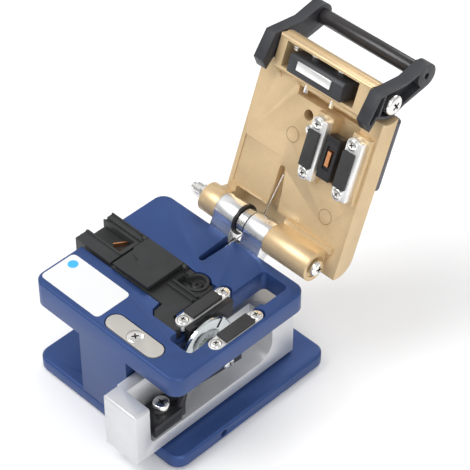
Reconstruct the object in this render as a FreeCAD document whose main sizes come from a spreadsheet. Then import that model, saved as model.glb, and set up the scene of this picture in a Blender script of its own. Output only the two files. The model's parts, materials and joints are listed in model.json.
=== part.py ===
"""Fibre cleaver: a bench tool that scores and snaps glass fibre.

Three drawing frames are used, all with X to the user's right. The deck frame has its origin
at the front left corner of the deck's top face. The lid frame has its origin on the hinge axis
and shows the lid closed, reaching towards -Y with its inner face down; each lid piece is then
turned open about the hinge by its Placement. The part's own frame has its origin in the middle
of the rubber sole's underside.
"""
import FreeCAD, Part
import Sketcher
import PartDesign
import os
import re

doc = FreeCAD.newDocument("fibre_cleaver")

# Driving sizes in millimetres, and angles in degrees.
SIZES = {
    # base plate and sole
    "plate_width": 64.5, "plate_depth": 66, "plate_thick": 5, "plate_corner": 4.5,
    "sole_thick": 1.6, "sole_proud": 0.6, "sole_inset": 3.5, "edge_break": 0.7,
    "collector_hole_radius": 1.25, "collector_hole_back": 19.7, "collector_hole_deep": 8,
    # deck and column
    "deck_width": 63, "deck_depth": 55.5, "deck_thick": 9.7, "deck_right_thick": 7.3,
    "deck_corner": 4.2, "deck_edge": 0.6,
    "column_left": 20.6, "column_width": 20.8, "column_height": 24.9,
    "rail_channel_height": 13, "rail_channel_deep": 7, "rail_channel_end": 3, "rail_drop": 24,
    # clearances
    "fit": 0.05, "slide_gap": 0.1, "seat_gap": 0.15, "free_gap": 0.3,
    # clamp pads and their plates
    "pad_left_at": 45.8, "pad_spacing": 14.0, "pad_width": 4.2, "pad_length": 12.1, "pad_thick": 1.2,
    "pad_middle": 28.2, "clamp_plate_width": 4.6, "clamp_plate_thick": 2.6,
    "upper_plate_reach": 3.3, "clamp_screw_back": 8.2, "clamp_screw_front": 8.5,
    "small_head_radius": 1.85, "small_head_tall": 0.7, "small_shank_radius": 1.0,
    "small_shank_long": 5,
    # window in the deck
    "window_left": 48.1, "window_right": 57.4, "window_front": 11.3, "window_behind": 3.5,
    "window_corner": 1.6,
    # striker plate
    "striker_left": 29, "striker_long": 22.5, "striker_front": 2, "striker_wide": 6.3,
    "striker_thick": 1.2, "striker_gap": 0.4, "striker_screw_at": 40.5,
    "striker_head_radius": 2.6, "striker_shank_radius": 1.5, "striker_shank_long": 6,
    # fibre adapter
    "bay_front": 19.8, "bay_back": 37.0, "bay_right": 42.9, "bay_deep": 4.4, "bay_foot_front": 14.8,
    "bay_foot_left": 35.4, "ear_at": 37.2, "ear_back": 34.0, "ear_radius": 4.5, "ear_floor": -1.6,
    "adapter_overhang": 3.0, "adapter_gap": 0.7, "adapter_shelf": -0.6, "adapter_top": 0.9,
    "well_front": 25.9, "well_back": 32.2, "well_right": 13.4, "well_deep": 3.2,
    "vee_rail_wide": 0.8, "vee_rail_tall": 0.8, "vee_gap": 1.2,
    "cover_left": 13.8, "cover_right": 29.7, "cover_thick": 1.1, "cover_barrel_radius": 0.95,
    "cover_pin_radius": 0.4,
    # hinge
    "hinge_back": 6.7, "hinge_rise": 2.5, "knuckle_radius": 5.0, "pin_radius": 1.5,
    "knuckle_left_at": 13.9, "knuckle_a": 20.9, "knuckle_b": 29.0, "knuckle_c": 33.8,
    "knuckle_d": 41.9, "knuckle_right_at": 59.8, "bracket_thick": 3.0, "bracket_drop": 9.0,
    "open_angle": 111, "pin_head_radius": 2.7, "pin_head_tall": 1.7, "nut_radius": 2.75,
    "nut_tall": 2.6, "dome_radius": 2.3, "dome_long": 4.2, "coil_radius": 4.3, "coil_wire": 0.55,
    "spring_leg_long": 19.5,
    "washer_thick": 0.8, "leg_slot_width": 2.2,
    # carriage
    "carriage_left": 41.8, "carriage_right": 55.85, "carriage_front": -10, "carriage_past": 2.7,
    "carriage_top": -13.2, "carriage_bottom": -34.0, "carriage_floor": -28.6, "carriage_web": 3.9,
    "carriage_front_thick": 6.0, "carriage_back_thick": 10.1, "carriage_inner_round": 6.0,
    "carriage_front_round": 2.5, "carriage_break": 0.6,
    "rail_high": 5, "rail_deep": 3.4, "rail_end": 4.25, "bearing_long": 19, "bearing_high": 11,
    # blade and its arm
    "blade_x": 50.4, "blade_thick": 1.2, "blade_radius": 10.3, "blade_back": 24.2,
    "blade_drop": 10.6, "hub_radius": 6.2, "hub_thick": 0.5, "blade_bore_radius": 2.5,
    "arm_left": 52.6, "arm_thick": 1.8, "arm_bottom": -22.4, "arm_top": -12.5, "arm_back": 36,
    "foot_left": 46.9, "foot_right": 55.2, "foot_long": 14.0, "foot_tall": 4.6,
    # lid
    "lid_left": 16.5, "lid_right": 65.0, "lid_front_gap": 0.4, "lid_heel": 2.8, "lid_inner": 4.0,
    "lid_thick": 7.0, "lid_round": 6.2, "lid_rim_tall": 3.0, "lid_rim_deep": 11.3,
    "lid_rim_wall": 3.4, "lid_cover_thick": 4.8, "lid_cover_in": 5.8, "lid_cover_long": 28.7,
    "lid_cover_round": 4.0, "lid_cutout_length": 6.7, "lid_skin": 2.5, "square_panel_deep": 0.45,
    # lever
    "lever_left_at": 17.8, "lever_thick": 4.0, "lever_right_at": 59.9,
    "pivot_in": 4.6, "pivot_up": 6.7, "pivot_clear_radius": 6.6, "pivot_boss_radius": 5.2,
    "pivot_pin_radius": 1.5, "pivot_head_radius": 3.3, "pivot_head_tall": 1.6,
    "bar_past": 2.6, "bar_up": 20.4, "bar_radius": 2.5, "bar_boss_radius": 4.0,
    # magnet
    "magnet_left": 33.2, "magnet_long": 13.5, "magnet_wide": 2.9, "magnet_thick": 1.6,
    "magnet_in": 5.8, "magnet_face": -1.9, "holder_left": 29.6, "holder_right": 51.2,
    # anvil
    "anvil_left": 50.2, "anvil_width": 5.0, "anvil_length": 14.0, "anvil_face": -0.2,
    "anvil_insert_width": 1.4, "anvil_insert_length": 5.0,
}

# Lengths worked out from the driving sizes.
DERIVED = {
    "deck_left_x": "0 - plate_width / 2 + plate_width - deck_width",
    "deck_front_y": "0 - plate_depth / 2",
    "deck_top_z": "sole_proud + plate_thick + column_height + deck_thick",
    "hinge_y": "deck_depth + hinge_back",
    "column_right": "column_left + column_width",
    "column_foot": "0 - deck_thick - column_height",
    "pad_right_at": "pad_left_at + pad_spacing",
    "window_back": "deck_depth - window_behind",
    "carriage_back": "deck_depth + carriage_past",
    "rail_long": "deck_depth - 2 * rail_end",
    "lid_length": "hinge_y - lid_front_gap",
    "pivot_out": "lid_length - pivot_in",
    "bar_out": "lid_length + bar_past",
    "magnet_at": "lid_length - magnet_in",
    "lid_cover_front": "lid_length - lid_cover_in",
    "lid_cover_back": "lid_length - lid_cover_in - lid_cover_long",
    "foot_front": "carriage_front + carriage_front_thick + carriage_front_round",
    "foot_back": "carriage_front + carriage_front_thick + carriage_front_round + foot_long",
}

sheet = doc.addObject("Spreadsheet::Sheet", "Sizes")
for row, (alias, value) in enumerate(SIZES.items(), start=1):
    sheet.set(f"A{row}", alias)
    sheet.set(f"B{row}", str(value))
    sheet.setAlias(f"B{row}", alias)
doc.recompute()


def formula(text):
    """Write a formula of plain names as an expression on the spreadsheet's cells."""
    def cell(match):
        name = match[0]
        if name in DERIVED:
            return "(" + formula(DERIVED[name]) + ")"
        return "Sizes." + name if name in SIZES else name
    return re.sub(r"[a-z][a-z_]*", cell, str(text))


def bind(thing, prop, text):
    thing.setExpression(prop, formula(text))


# ---------------------------------------------------------------- frames
def seat(piece, frame="deck"):
    """Stand a finished piece in the part's own frame."""
    bind(piece, "Placement.Base.x", "deck_left_x")
    if frame == "deck":
        bind(piece, "Placement.Base.y", "deck_front_y")
        bind(piece, "Placement.Base.z", "deck_top_z")
        return piece
    piece.Placement = FreeCAD.Placement(FreeCAD.Vector(), FreeCAD.Rotation(FreeCAD.Vector(-1, 0, 0), 90))
    bind(piece, "Placement.Base.y", "deck_front_y + hinge_y")
    bind(piece, "Placement.Base.z", "deck_top_z + hinge_rise")
    bind(piece, "Placement.Rotation.Angle", "open_angle")
    return piece


# ---------------------------------------------------------------- solids from sketches
# For each axis: the body's own plane across it, and whether that plane faces along the axis.
ACROSS = {"X": ("YZ_Plane", 1), "Y": ("XZ_Plane", -1), "Z": ("XY_Plane", 1)}


def new_body(name):
    piece = doc.addObject("PartDesign::Body", name)
    piece.Label = name
    return piece


def sketch_on(piece, axis, level):
    role, facing = ACROSS[axis]
    sketch = piece.newObject("Sketcher::SketchObject", piece.Name + "_sketch")
    sketch.AttachmentSupport = [(next(f for f in piece.Origin.OriginFeatures if f.Role == role), "")]
    sketch.MapMode = "FlatFace"
    bind(sketch, "AttachmentOffset.Base.z", f"{facing} * ({level})")
    return sketch


def fix(sketch, kind, geometry, point, start, text):
    """Hold a sketch point at a distance from the origin, along x or y."""
    index = sketch.addConstraint(Sketcher.Constraint(kind, -1, 1, geometry, point, start))
    sketch.setExpression(f"Constraints[{index}]", formula(text))


def draw(sketch, shape):
    """Draw a closed outline of corners, or a ("disc", across, up, radius)."""
    if shape[0] == "disc":
        sketch.addGeometry(Part.Circle(FreeCAD.Vector(1, 1, 0), FreeCAD.Vector(0, 0, 1), 2), False)
        fix(sketch, "DistanceX", 0, 3, 1, shape[1])
        fix(sketch, "DistanceY", 0, 3, 1, shape[2])
        index = sketch.addConstraint(Sketcher.Constraint("Radius", 0, 2))
        sketch.setExpression(f"Constraints[{index}]", formula(shape[3]))
        return
    count = len(shape)
    ring = [FreeCAD.Vector(20, 0, 0)]
    turn = FreeCAD.Rotation(FreeCAD.Vector(0, 0, 1), 360 / count)
    for _ in range(count - 1):
        ring.append(turn.multVec(ring[-1]))
    for i in range(count):
        sketch.addGeometry(Part.LineSegment(ring[i], ring[(i + 1) % count]), False)
    for i, (across, up) in enumerate(shape):
        sketch.addConstraint(Sketcher.Constraint("Coincident", i - 1 if i else count - 1, 2, i, 1))
        fix(sketch, "DistanceX", i, 1, ring[i].x, across)
        fix(sketch, "DistanceY", i, 1, ring[i].y, up)


def grow(piece, axis, low, high, shape):
    """Add the outline's prism between two levels on an axis."""
    sketch = sketch_on(piece, axis, low)
    draw(sketch, shape)
    pad = piece.newObject("PartDesign::Pad", piece.Name + "_pad")
    pad.Profile = sketch
    pad.Reversed = ACROSS[axis][1] < 0
    bind(pad, "Length", f"({high}) - ({low})")
    sketch.Visibility = False
    return pad


def cut(piece, axis, low, high, shape):
    """Take the outline's prism away between two levels on an axis."""
    sketch = sketch_on(piece, axis, low)
    draw(sketch, shape)
    pocket = piece.newObject("PartDesign::Pocket", piece.Name + "_pocket")
    pocket.Profile = sketch
    pocket.Reversed = ACROSS[axis][1] > 0
    bind(pocket, "Length", f"({high}) - ({low})")
    sketch.Visibility = False
    return pocket


def soften(piece, radius, choose, kind="Fillet"):
    """Round or bevel the edges that choose(edge, box) picks."""
    doc.recompute()
    tip = piece.Tip
    box = tip.Shape.BoundBox
    names = [f"Edge{i + 1}" for i, edge in enumerate(tip.Shape.Edges) if choose(edge, box)]
    feature = piece.newObject("PartDesign::" + kind, piece.Name + "_" + kind.lower())
    feature.Base = (tip, names)
    bind(feature, "Radius" if kind == "Fillet" else "Size", radius)
    return feature


def rectangle(left, right, low, high):
    return [(left, low), (right, low), (right, high), (left, high)]


def along(edge, axis):
    """True for a straight edge that runs along X, Y or Z."""
    if edge.Curve.TypeId != "Part::GeomLine":
        return False
    return abs(getattr(edge.Curve.Direction, axis.lower())) > 0.999


def near(value, target):
    return abs(value - target) < 0.01


def at_corner(edge, box, axis):
    """True for a straight edge along an axis at one of the bounding box's four corners."""
    if not along(edge, axis):
        return False
    sides = {"X": (box.XMin, box.XMax), "Y": (box.YMin, box.YMax), "Z": (box.ZMin, box.ZMax)}
    spot = edge.CenterOfMass
    return all(near(getattr(spot, other.lower()), sides[other][0])
               or near(getattr(spot, other.lower()), sides[other][1])
               for other in "XYZ" if other != axis)


def on_level(edge, axis, level):
    """True for an edge that lies wholly at one level of an axis."""
    box = edge.BoundBox
    return near(getattr(box, axis + "Min"), level) and near(getattr(box, axis + "Max"), level)


def revolved(name, profile):
    """A piece turned about its own Z axis from corners given as (radius, height)."""
    piece = new_body(name)
    sketch = sketch_on(piece, "Y", "0")
    draw(sketch, profile)
    turned = piece.newObject("PartDesign::Revolution", name + "_turned")
    turned.Profile = sketch
    turned.ReferenceAxis = (sketch, ["V_Axis"])
    turned.Angle = 360
    sketch.Visibility = False
    return piece


# ---------------------------------------------------------------- fasteners
# Turns that point a fastener's head along an axis.
HEAD_ALONG = {
    "+Z": FreeCAD.Rotation(),
    "-Z": FreeCAD.Rotation(FreeCAD.Vector(1, 0, 0), 180),
    "+X": FreeCAD.Rotation(FreeCAD.Vector(0, 1, 0), 90),
    "-X": FreeCAD.Rotation(FreeCAD.Vector(0, 1, 0), -90),
    "+Y": FreeCAD.Rotation(FreeCAD.Vector(1, 0, 0), -90),
    "-Y": FreeCAD.Rotation(FreeCAD.Vector(1, 0, 0), 90),
}


def screw(name, facing, place, head_radius, head_tall, shank_radius, shank_long):
    """One screw whose head sits on the point called place."""
    piece = revolved(name, [
        ("0", f"0 - ({shank_long})"), (shank_radius, f"0 - ({shank_long})"), (shank_radius, "0"),
        (head_radius, "0"), (head_radius, head_tall), ("0", head_tall)])
    piece.Placement = FreeCAD.Placement(FreeCAD.Vector(), HEAD_ALONG[facing])
    for axis, text in zip("xyz", place):
        bind(piece, "Placement.Base." + axis, text)
    return piece


def screw_set(name, frame, facing, places, *sizes):
    """Like screws in one node, as separate solids."""
    singles = [screw(f"{name}_{i + 1}", facing, place, *sizes)
               for i, place in enumerate(places)]
    group = doc.addObject("Part::Compound", name)
    group.Label = name
    group.Links = singles
    return seat(group, frame)


def stadium(piece, action, axis, low, high, across, near_end, far_end, radius):
    """Add or cut a round-ended bar that runs along the sketch's second direction."""
    action(piece, axis, low, high,
           rectangle(f"{across} - ({radius})", f"{across} + {radius}", near_end, far_end))
    for end in (near_end, far_end):
        action(piece, axis, low, high, ("disc", across, end, radius))


PIECES = []


def finish(piece, frame="deck"):
    PIECES.append(seat(piece, frame))
    return piece


def finish_set(*args):
    group = screw_set(*args)
    PIECES.append(group)
    return group


DERIVED.update({
    "plate_left": "deck_width - plate_width",
    "plate_bottom": "column_foot - plate_thick",
    "sole_ceiling": "plate_bottom + sole_thick - sole_proud",
    "clamp_front": "pad_middle - clamp_screw_front",
    "clamp_rear": "pad_middle + clamp_screw_back",
    "channel_floor": "column_right - rail_channel_deep",
    "rail_front": "rail_end",
    "rail_middle": "0 - rail_drop",
    "striker_right": "striker_left + striker_long",
    "striker_middle": "striker_front + striker_wide / 2",
    "nut_at": "knuckle_left_at - slide_gap",
    "head_at": "knuckle_right_at + slide_gap",
})
BASE_SCREW_X = ("column_left + 4.2", "column_right - 10.5")
BASE_SCREW_Y = ("8", "deck_depth - 8")
BRACKET_SCREW_X = ("knuckle_a + 4", "knuckle_d - 4")
BRACKET_SCREW_Z = "0 - 6"
RAIL_SCREW_Y = ("rail_front + 5", "deck_depth / 2", "deck_depth - rail_front - 5")


# ---------------------------------------------------------------- base
def base_plate():
    plate = new_body("base_plate")
    grow(plate, "Z", "plate_bottom", "column_foot",
         rectangle("plate_left", "deck_width", "0", "plate_depth"))
    soften(plate, "plate_corner", lambda edge, box: at_corner(edge, box, "Z"))
    soften(plate, "edge_break", lambda edge, box: on_level(edge, "Z", box.ZMax)
           or on_level(edge, "Z", box.ZMin), kind="Chamfer")
    cut(plate, "Z", "plate_bottom - 1", "sole_ceiling",
        rectangle("plate_left + sole_inset", "deck_width - sole_inset", "sole_inset",
                  "plate_depth - sole_inset"))
    for across in BASE_SCREW_X:
        for back in BASE_SCREW_Y:
            cut(plate, "Z", "plate_bottom", "column_foot + 1",
                ("disc", across, back, "striker_shank_radius + fit"))
            cut(plate, "Z", "plate_bottom", "sole_ceiling + 1.7",
                ("disc", across, back, "striker_head_radius + fit"))
    cut(plate, "X", "deck_width - collector_hole_deep", "deck_width + 1",
        ("disc", "collector_hole_back", "column_foot - plate_thick / 2", "collector_hole_radius"))
    return finish(plate)


def sole_pad():
    sole = new_body("sole_pad")
    grow(sole, "Z", "plate_bottom - sole_proud", "sole_ceiling",
         rectangle("plate_left + sole_inset + fit", "deck_width - sole_inset - fit",
                   "sole_inset + fit", "plate_depth - sole_inset - fit"))
    soften(sole, "edge_break", lambda edge, box: at_corner(edge, box, "Z"))
    return finish(sole)


def base_screws():
    places = [(x, y, "sole_ceiling + 1.7") for x in BASE_SCREW_X for y in BASE_SCREW_Y]
    return finish_set("base_screws", "deck", "-Z", places, "striker_head_radius", "1.6",
                      "striker_shank_radius", "9")


def main_frame():
    frame = new_body("main_frame")
    grow(frame, "Z", "0 - deck_thick", "0", rectangle("0", "deck_width", "0", "deck_depth"))
    soften(frame, "deck_corner", lambda edge, box: at_corner(edge, box, "Z"))
    cut(frame, "Y", "0 - 1", "deck_depth + 1",
        rectangle("column_right", "deck_width + 1", "0 - deck_thick - 1", "0 - deck_right_thick"))
    soften(frame, "deck_edge", lambda edge, box: on_level(edge, "Z", box.ZMax), kind="Chamfer")
    grow(frame, "Z", "column_foot", "0 - deck_thick",
         rectangle("column_left", "column_right", "0", "deck_depth"))
    # window that the blade runs in
    cut(frame, "Z", "0 - deck_thick", "1",
        rectangle("window_left", "window_right", "window_front", "window_back"))
    cut(frame, "Z", "0 - deck_thick", "1",
        rectangle("window_left", "window_right + 1.1", "clamp_rear + 5", "window_back"))
    soften(frame, "window_corner", lambda edge, box: along(edge, "Z")
           and near(edge.Length, SIZES["deck_right_thick"])
           and (near(edge.CenterOfMass.y, SIZES["deck_depth"] - SIZES["window_behind"])
                or near(edge.CenterOfMass.y, SIZES["window_front"])))
    # bay for the fibre adapter, with its ear and its foot
    cut(frame, "Z", "0 - bay_deep", "1", [
        ("0 - 1", "bay_front"), ("bay_foot_left", "bay_front"),
        ("bay_foot_left + 0.6", "bay_foot_front + 1.7"), ("bay_foot_left + 2.6", "bay_foot_front"),
        ("window_left + 0.5", "bay_foot_front"), ("window_left + 0.5", "clamp_front"),
        ("bay_right", "clamp_front"), ("bay_right", "bay_back"), ("0 - 1", "bay_back")])
    cut(frame, "Z", "0 - bay_deep", "1", ("disc", "ear_at", "ear_back", "ear_radius"))
    cut(frame, "Z", "0 - bay_deep - 4", "1",
        ("disc", "ear_at", "ear_back", "small_shank_radius + fit"))
    # seats of the clamp plates
    for side in ("pad_left_at", "pad_right_at"):
        stadium(frame, cut, "Z", "0 - clamp_plate_thick", "1", side, "clamp_front", "clamp_rear + 0.8",
                "clamp_plate_width / 2 + seat_gap")
        for back in ("clamp_front", "clamp_rear"):
            cut(frame, "Z", "0 - clamp_plate_thick - small_shank_long", "1",
                ("disc", side, back, "small_shank_radius + fit"))
    # striker plate's seat
    radius = "striker_wide / 2 + striker_gap"
    cut(frame, "Z", "0 - striker_thick", "1",
        rectangle("striker_left + striker_wide / 2", "striker_right - striker_wide / 2",
                  "striker_front - striker_gap", "striker_front + striker_wide + striker_gap"))
    for end in ("striker_left + striker_wide / 2", "striker_right - striker_wide / 2"):
        cut(frame, "Z", "0 - striker_thick", "1", ("disc", end, "striker_middle", radius))
    cut(frame, "Z", "0 - striker_shank_long - 1", "1",
        ("disc", "striker_screw_at", "striker_middle", "striker_shank_radius + fit"))
    # groove for the spring's lower leg
    cut(frame, "Z", "hinge_rise - coil_radius - 3", "1", [
        ("knuckle_b", "deck_depth + 1"), ("knuckle_b + 0.6", "deck_depth - 12.9"),
        ("knuckle_b + 2.8", "deck_depth - 12.9"), ("knuckle_b + 3.3", "deck_depth + 1")])
    cut(frame, "Z", "hinge_rise - coil_radius - 3", "1",
        ("disc", "knuckle_b + leg_slot_width / 2 + 0.6", "deck_depth - 12.9", "leg_slot_width / 2"))
    # channel of the guide rail
    cut(frame, "X", "channel_floor", "column_right + 1",
        rectangle("rail_channel_end", "deck_depth - rail_channel_end",
                  "rail_middle - rail_channel_height / 2", "rail_middle + rail_channel_height / 2"))
    for back in RAIL_SCREW_Y:
        cut(frame, "X", "channel_floor - 5.5", "channel_floor",
            ("disc", back, "rail_middle", "small_shank_radius + fit"))
    for across in BASE_SCREW_X:
        for back in BASE_SCREW_Y:
            cut(frame, "Z", "column_foot - 1", "column_foot + 8",
                ("disc", across, back, "striker_shank_radius + fit"))
    for across in BRACKET_SCREW_X:
        cut(frame, "Y", "deck_depth - 7", "deck_depth + 1",
            ("disc", across, BRACKET_SCREW_Z, "small_shank_radius + fit"))
    return finish(frame)


def striker_plate():
    plate = new_body("striker_plate")
    inner = ("striker_left + striker_wide / 2", "striker_right - striker_wide / 2")
    grow(plate, "Z", "0 - striker_thick", "0",
         rectangle(*inner, "striker_front", "striker_front + striker_wide"))
    for end in inner:
        grow(plate, "Z", "0 - striker_thick", "0", ("disc", end, "striker_middle", "striker_wide / 2"))
    cut(plate, "Z", "0 - striker_thick - 1", "1",
        ("disc", "striker_screw_at", "striker_middle", "striker_shank_radius + fit"))
    cut(plate, "Z", "0 - 0.8", "1",
        ("disc", "striker_screw_at", "striker_middle", "striker_head_radius + fit"))
    finish(plate)
    finish_set("striker_screw", "deck", "+Z", [("striker_screw_at", "striker_middle", "0 - 0.8")],
               "striker_head_radius", "0.8", "striker_shank_radius", "striker_shank_long")


def lower_clamps():
    """Two steel plates let into the deck, each with a rubber pad on top."""
    for side in ("left", "right"):
        across = f"pad_{side}_at"
        plate = new_body(f"lower_{side}_clamp_plate")
        stadium(plate, grow, "Z", "0 - clamp_plate_thick", "0", across, "clamp_front", "clamp_rear",
                "clamp_plate_width / 2")
        for back in ("clamp_front", "clamp_rear"):
            cut(plate, "Z", "0 - clamp_plate_thick - 1", "1",
                ("disc", across, back, "small_shank_radius + fit"))
        finish(plate)
        pad = new_body(f"lower_{side}_pad")
        grow(pad, "Z", "0", "pad_thick",
             rectangle(f"{across} - pad_width / 2", f"{across} + pad_width / 2",
                       "pad_middle - pad_length / 2", "pad_middle + pad_length / 2"))
        finish(pad)
    places = [(x, y, "0") for x in ("pad_left_at", "pad_right_at")
              for y in ("clamp_front", "clamp_rear")]
    finish_set("lower_clamp_screws", "deck", "+Z", places, "small_head_radius",
               "small_head_tall", "small_shank_radius", "clamp_plate_thick + small_shank_long - 0.5")


def blade_guard():
    """Black bar beside the left clamp, with a relief for the blade."""
    guard = new_body("blade_guard")
    grow(guard, "X", "window_left", "blade_x - 2 * slide_gap", rectangle(
        "pad_middle - 10", "pad_middle + 8.5", "0 - 6.6", "0 - 0.4"))
    cut(guard, "X", "blade_x - 1.2", "blade_x", ("disc", "blade_back", "0 - blade_drop", "blade_radius + 0.4"))
    return finish(guard)


# ---------------------------------------------------------------- hinge
def hinge_bracket():
    bracket = new_body("hinge_bracket")
    foot_top = "0 - 0.6"
    grow(bracket, "Y", "deck_depth", "deck_depth + bracket_thick",
         rectangle("knuckle_a", "knuckle_d", "0 - bracket_drop", foot_top))
    for low, high in (("knuckle_a", "knuckle_b"), ("knuckle_c", "knuckle_d")):
        grow(bracket, "X", low, high, ("disc", "hinge_y", "hinge_rise", "knuckle_radius"))
        grow(bracket, "X", low, high, [
            ("deck_depth", "0 - 5.2"), ("hinge_y - 0.5", "hinge_rise - knuckle_radius + 0.2"),
            ("hinge_y", "hinge_rise"), ("hinge_y - knuckle_radius", "hinge_rise"),
            ("deck_depth", foot_top)])
    cut(bracket, "Y", "deck_depth - 1", "deck_depth + bracket_thick + 1",
        rectangle("knuckle_b", "knuckle_c", "0 - 3", "1"))
    cut(bracket, "X", "knuckle_a - 1", "knuckle_d + 1",
        ("disc", "hinge_y", "hinge_rise", "pin_radius + fit"))
    for across in BRACKET_SCREW_X:
        cut(bracket, "Y", "deck_depth - 1", "deck_depth + bracket_thick + 1",
            ("disc", across, BRACKET_SCREW_Z, "small_shank_radius + fit"))
    finish(bracket)
    places = [(x, "deck_depth + bracket_thick", BRACKET_SCREW_Z) for x in BRACKET_SCREW_X]
    finish_set("hinge_bracket_screws", "deck", "+Y", places, "small_head_radius",
               "small_head_tall", "small_shank_radius", "bracket_thick + 6")


def hinge_pin():
    finish_set("hinge_pin", "deck", "+X", [("head_at", "hinge_y", "hinge_rise")],
               "pin_head_radius", "pin_head_tall", "pin_radius", "head_at - nut_at + nut_tall + 1.4")
    nut = new_body("hinge_nut")
    corner = "nut_radius"
    ring = [(corner, "0"), (f"{corner} * 0.5", f"{corner} * 0.866"),
            (f"0 - {corner} * 0.5", f"{corner} * 0.866"), (f"0 - {corner}", "0"),
            (f"0 - {corner} * 0.5", f"0 - {corner} * 0.866"), (f"{corner} * 0.5", f"0 - {corner} * 0.866")]
    grow(nut, "X", "nut_at - nut_tall", "nut_at",
         [(f"hinge_y + {y}", f"hinge_rise + {z}") for y, z in ring])
    dome_foot = "nut_at - nut_tall"
    grow(nut, "X", f"{dome_foot} - dome_long * 0.6", dome_foot, ("disc", "hinge_y", "hinge_rise", "dome_radius"))
    grow(nut, "X", f"{dome_foot} - dome_long", dome_foot,
         ("disc", "hinge_y", "hinge_rise", "dome_radius * 0.62"))
    cut(nut, "X", f"{dome_foot} - 1.6", "nut_at + 1", ("disc", "hinge_y", "hinge_rise", "pin_radius + fit"))
    finish(nut)


def hinge_washers():
    rings = []
    for name, low, thick, radius in (("thick", "knuckle_b", "washer_thick", "knuckle_radius + 0.3"),
                                     ("thin", "knuckle_c - 0.5", "0.5", "knuckle_radius - 0.4")):
        ring = new_body("washer_" + name)
        grow(ring, "X", low, f"{low} + {thick}", ("disc", "hinge_y", "hinge_rise", radius))
        cut(ring, "X", f"{low} - 1", f"{low} + 1", ("disc", "hinge_y", "hinge_rise", "pin_radius + fit"))
        rings.append(ring)
    group = doc.addObject("Part::Compound", "hinge_washers")
    group.Label = "hinge_washers"
    group.Links = rings
    return finish(group)


def torsion_spring():
    """Close-wound coil round the hinge, and the leg that lies in the deck's groove."""
    spring = new_body("torsion_spring")
    low, high = "knuckle_b + washer_thick + fit", "knuckle_c - 0.5 - fit"
    grow(spring, "X", low, high, ("disc", "hinge_y", "hinge_rise", "coil_radius"))
    grow(spring, "Y", "deck_depth - 12.6", "hinge_y",
         ("disc", "knuckle_b + 1.9", "hinge_rise - coil_radius + coil_wire / 2", "coil_wire / 2"))
    cut(spring, "X", "knuckle_b", "knuckle_c",
        ("disc", "hinge_y", "hinge_rise", "coil_radius - coil_wire"))
    return finish(spring)


# ---------------------------------------------------------------- rail and carriage
def guide_rail():
    rail = new_body("guide_rail")
    grow(rail, "X", "channel_floor", "channel_floor + rail_deep",
         rectangle("rail_front", "rail_front + rail_long", "rail_middle - rail_high / 2",
                   "rail_middle + rail_high / 2"))
    for back in RAIL_SCREW_Y:
        cut(rail, "X", "channel_floor - 1", "channel_floor + rail_deep + 1",
            ("disc", back, "rail_middle", "small_shank_radius + fit"))
        cut(rail, "X", "channel_floor + rail_deep - 1.2", "channel_floor + rail_deep + 1",
            ("disc", back, "rail_middle", "small_head_radius + fit"))
    finish(rail)
    places = [("channel_floor + rail_deep - 1.2", y, "rail_middle") for y in RAIL_SCREW_Y]
    finish_set("guide_rail_screws", "deck", "+X", places, "small_head_radius", "1",
               "small_shank_radius", "rail_deep - 1.2 + 5")


DERIVED.update({
    "bearing_front": "carriage_front + 19",
    "bearing_left": "channel_floor + rail_deep / 2",
    "web_right": "carriage_left + carriage_web",
    "foot_top": "carriage_floor + foot_tall",
    "blade_right": "blade_x + blade_thick",
    "blade_z": "0 - blade_drop",
    "arm_right": "arm_left + arm_thick",
})
BEARING_SCREW_Y = ("bearing_front + 4.5", "bearing_front + bearing_long - 4.5")
FOOT_SCREW = ("50.9", "5.1")
LOCK_SCREW = ("30", "0 - 19.4")


def carriage():
    slide = new_body("carriage")
    front_wall = "carriage_front + carriage_front_thick"
    back_wall = "carriage_back - carriage_back_thick"
    grow(slide, "X", "carriage_left", "carriage_right", [
        ("carriage_front", "carriage_bottom"), ("carriage_back", "carriage_bottom"),
        ("carriage_back", "carriage_top"), (back_wall, "carriage_top"),
        (back_wall, "carriage_floor"), (front_wall, "carriage_floor"),
        (front_wall, "carriage_top"), ("carriage_front", "carriage_top")])
    back_inside = SIZES["deck_depth"] + SIZES["carriage_past"] - SIZES["carriage_back_thick"]
    front_inside = SIZES["carriage_front"] + SIZES["carriage_front_thick"]
    for radius, inside in (("carriage_inner_round", back_inside), ("carriage_front_round", front_inside)):
        soften(slide, radius, lambda edge, box: along(edge, "X")
               and near(edge.CenterOfMass.y, inside)
               and near(edge.CenterOfMass.z, SIZES["carriage_floor"]))
    soften(slide, "carriage_break", lambda edge, box: at_corner(edge, box, "X")
           or at_corner(edge, box, "Z") or at_corner(edge, box, "Y"), kind="Chamfer")
    grow(slide, "X", "carriage_left", "web_right",
         rectangle(front_wall, back_wall, "carriage_floor", "carriage_top"))
    for back in BEARING_SCREW_Y:
        cut(slide, "X", "carriage_left - 1", "web_right + 1",
            ("disc", back, "rail_middle", "small_shank_radius + fit"))
        cut(slide, "X", "web_right - 1.1", "web_right + 1",
            ("disc", back, "rail_middle", "small_head_radius + fit"))
    cut(slide, "Z", "carriage_floor - 4.5", "carriage_floor + 1",
        ("disc", *FOOT_SCREW, "striker_shank_radius + fit"))
    return finish(slide)


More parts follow.
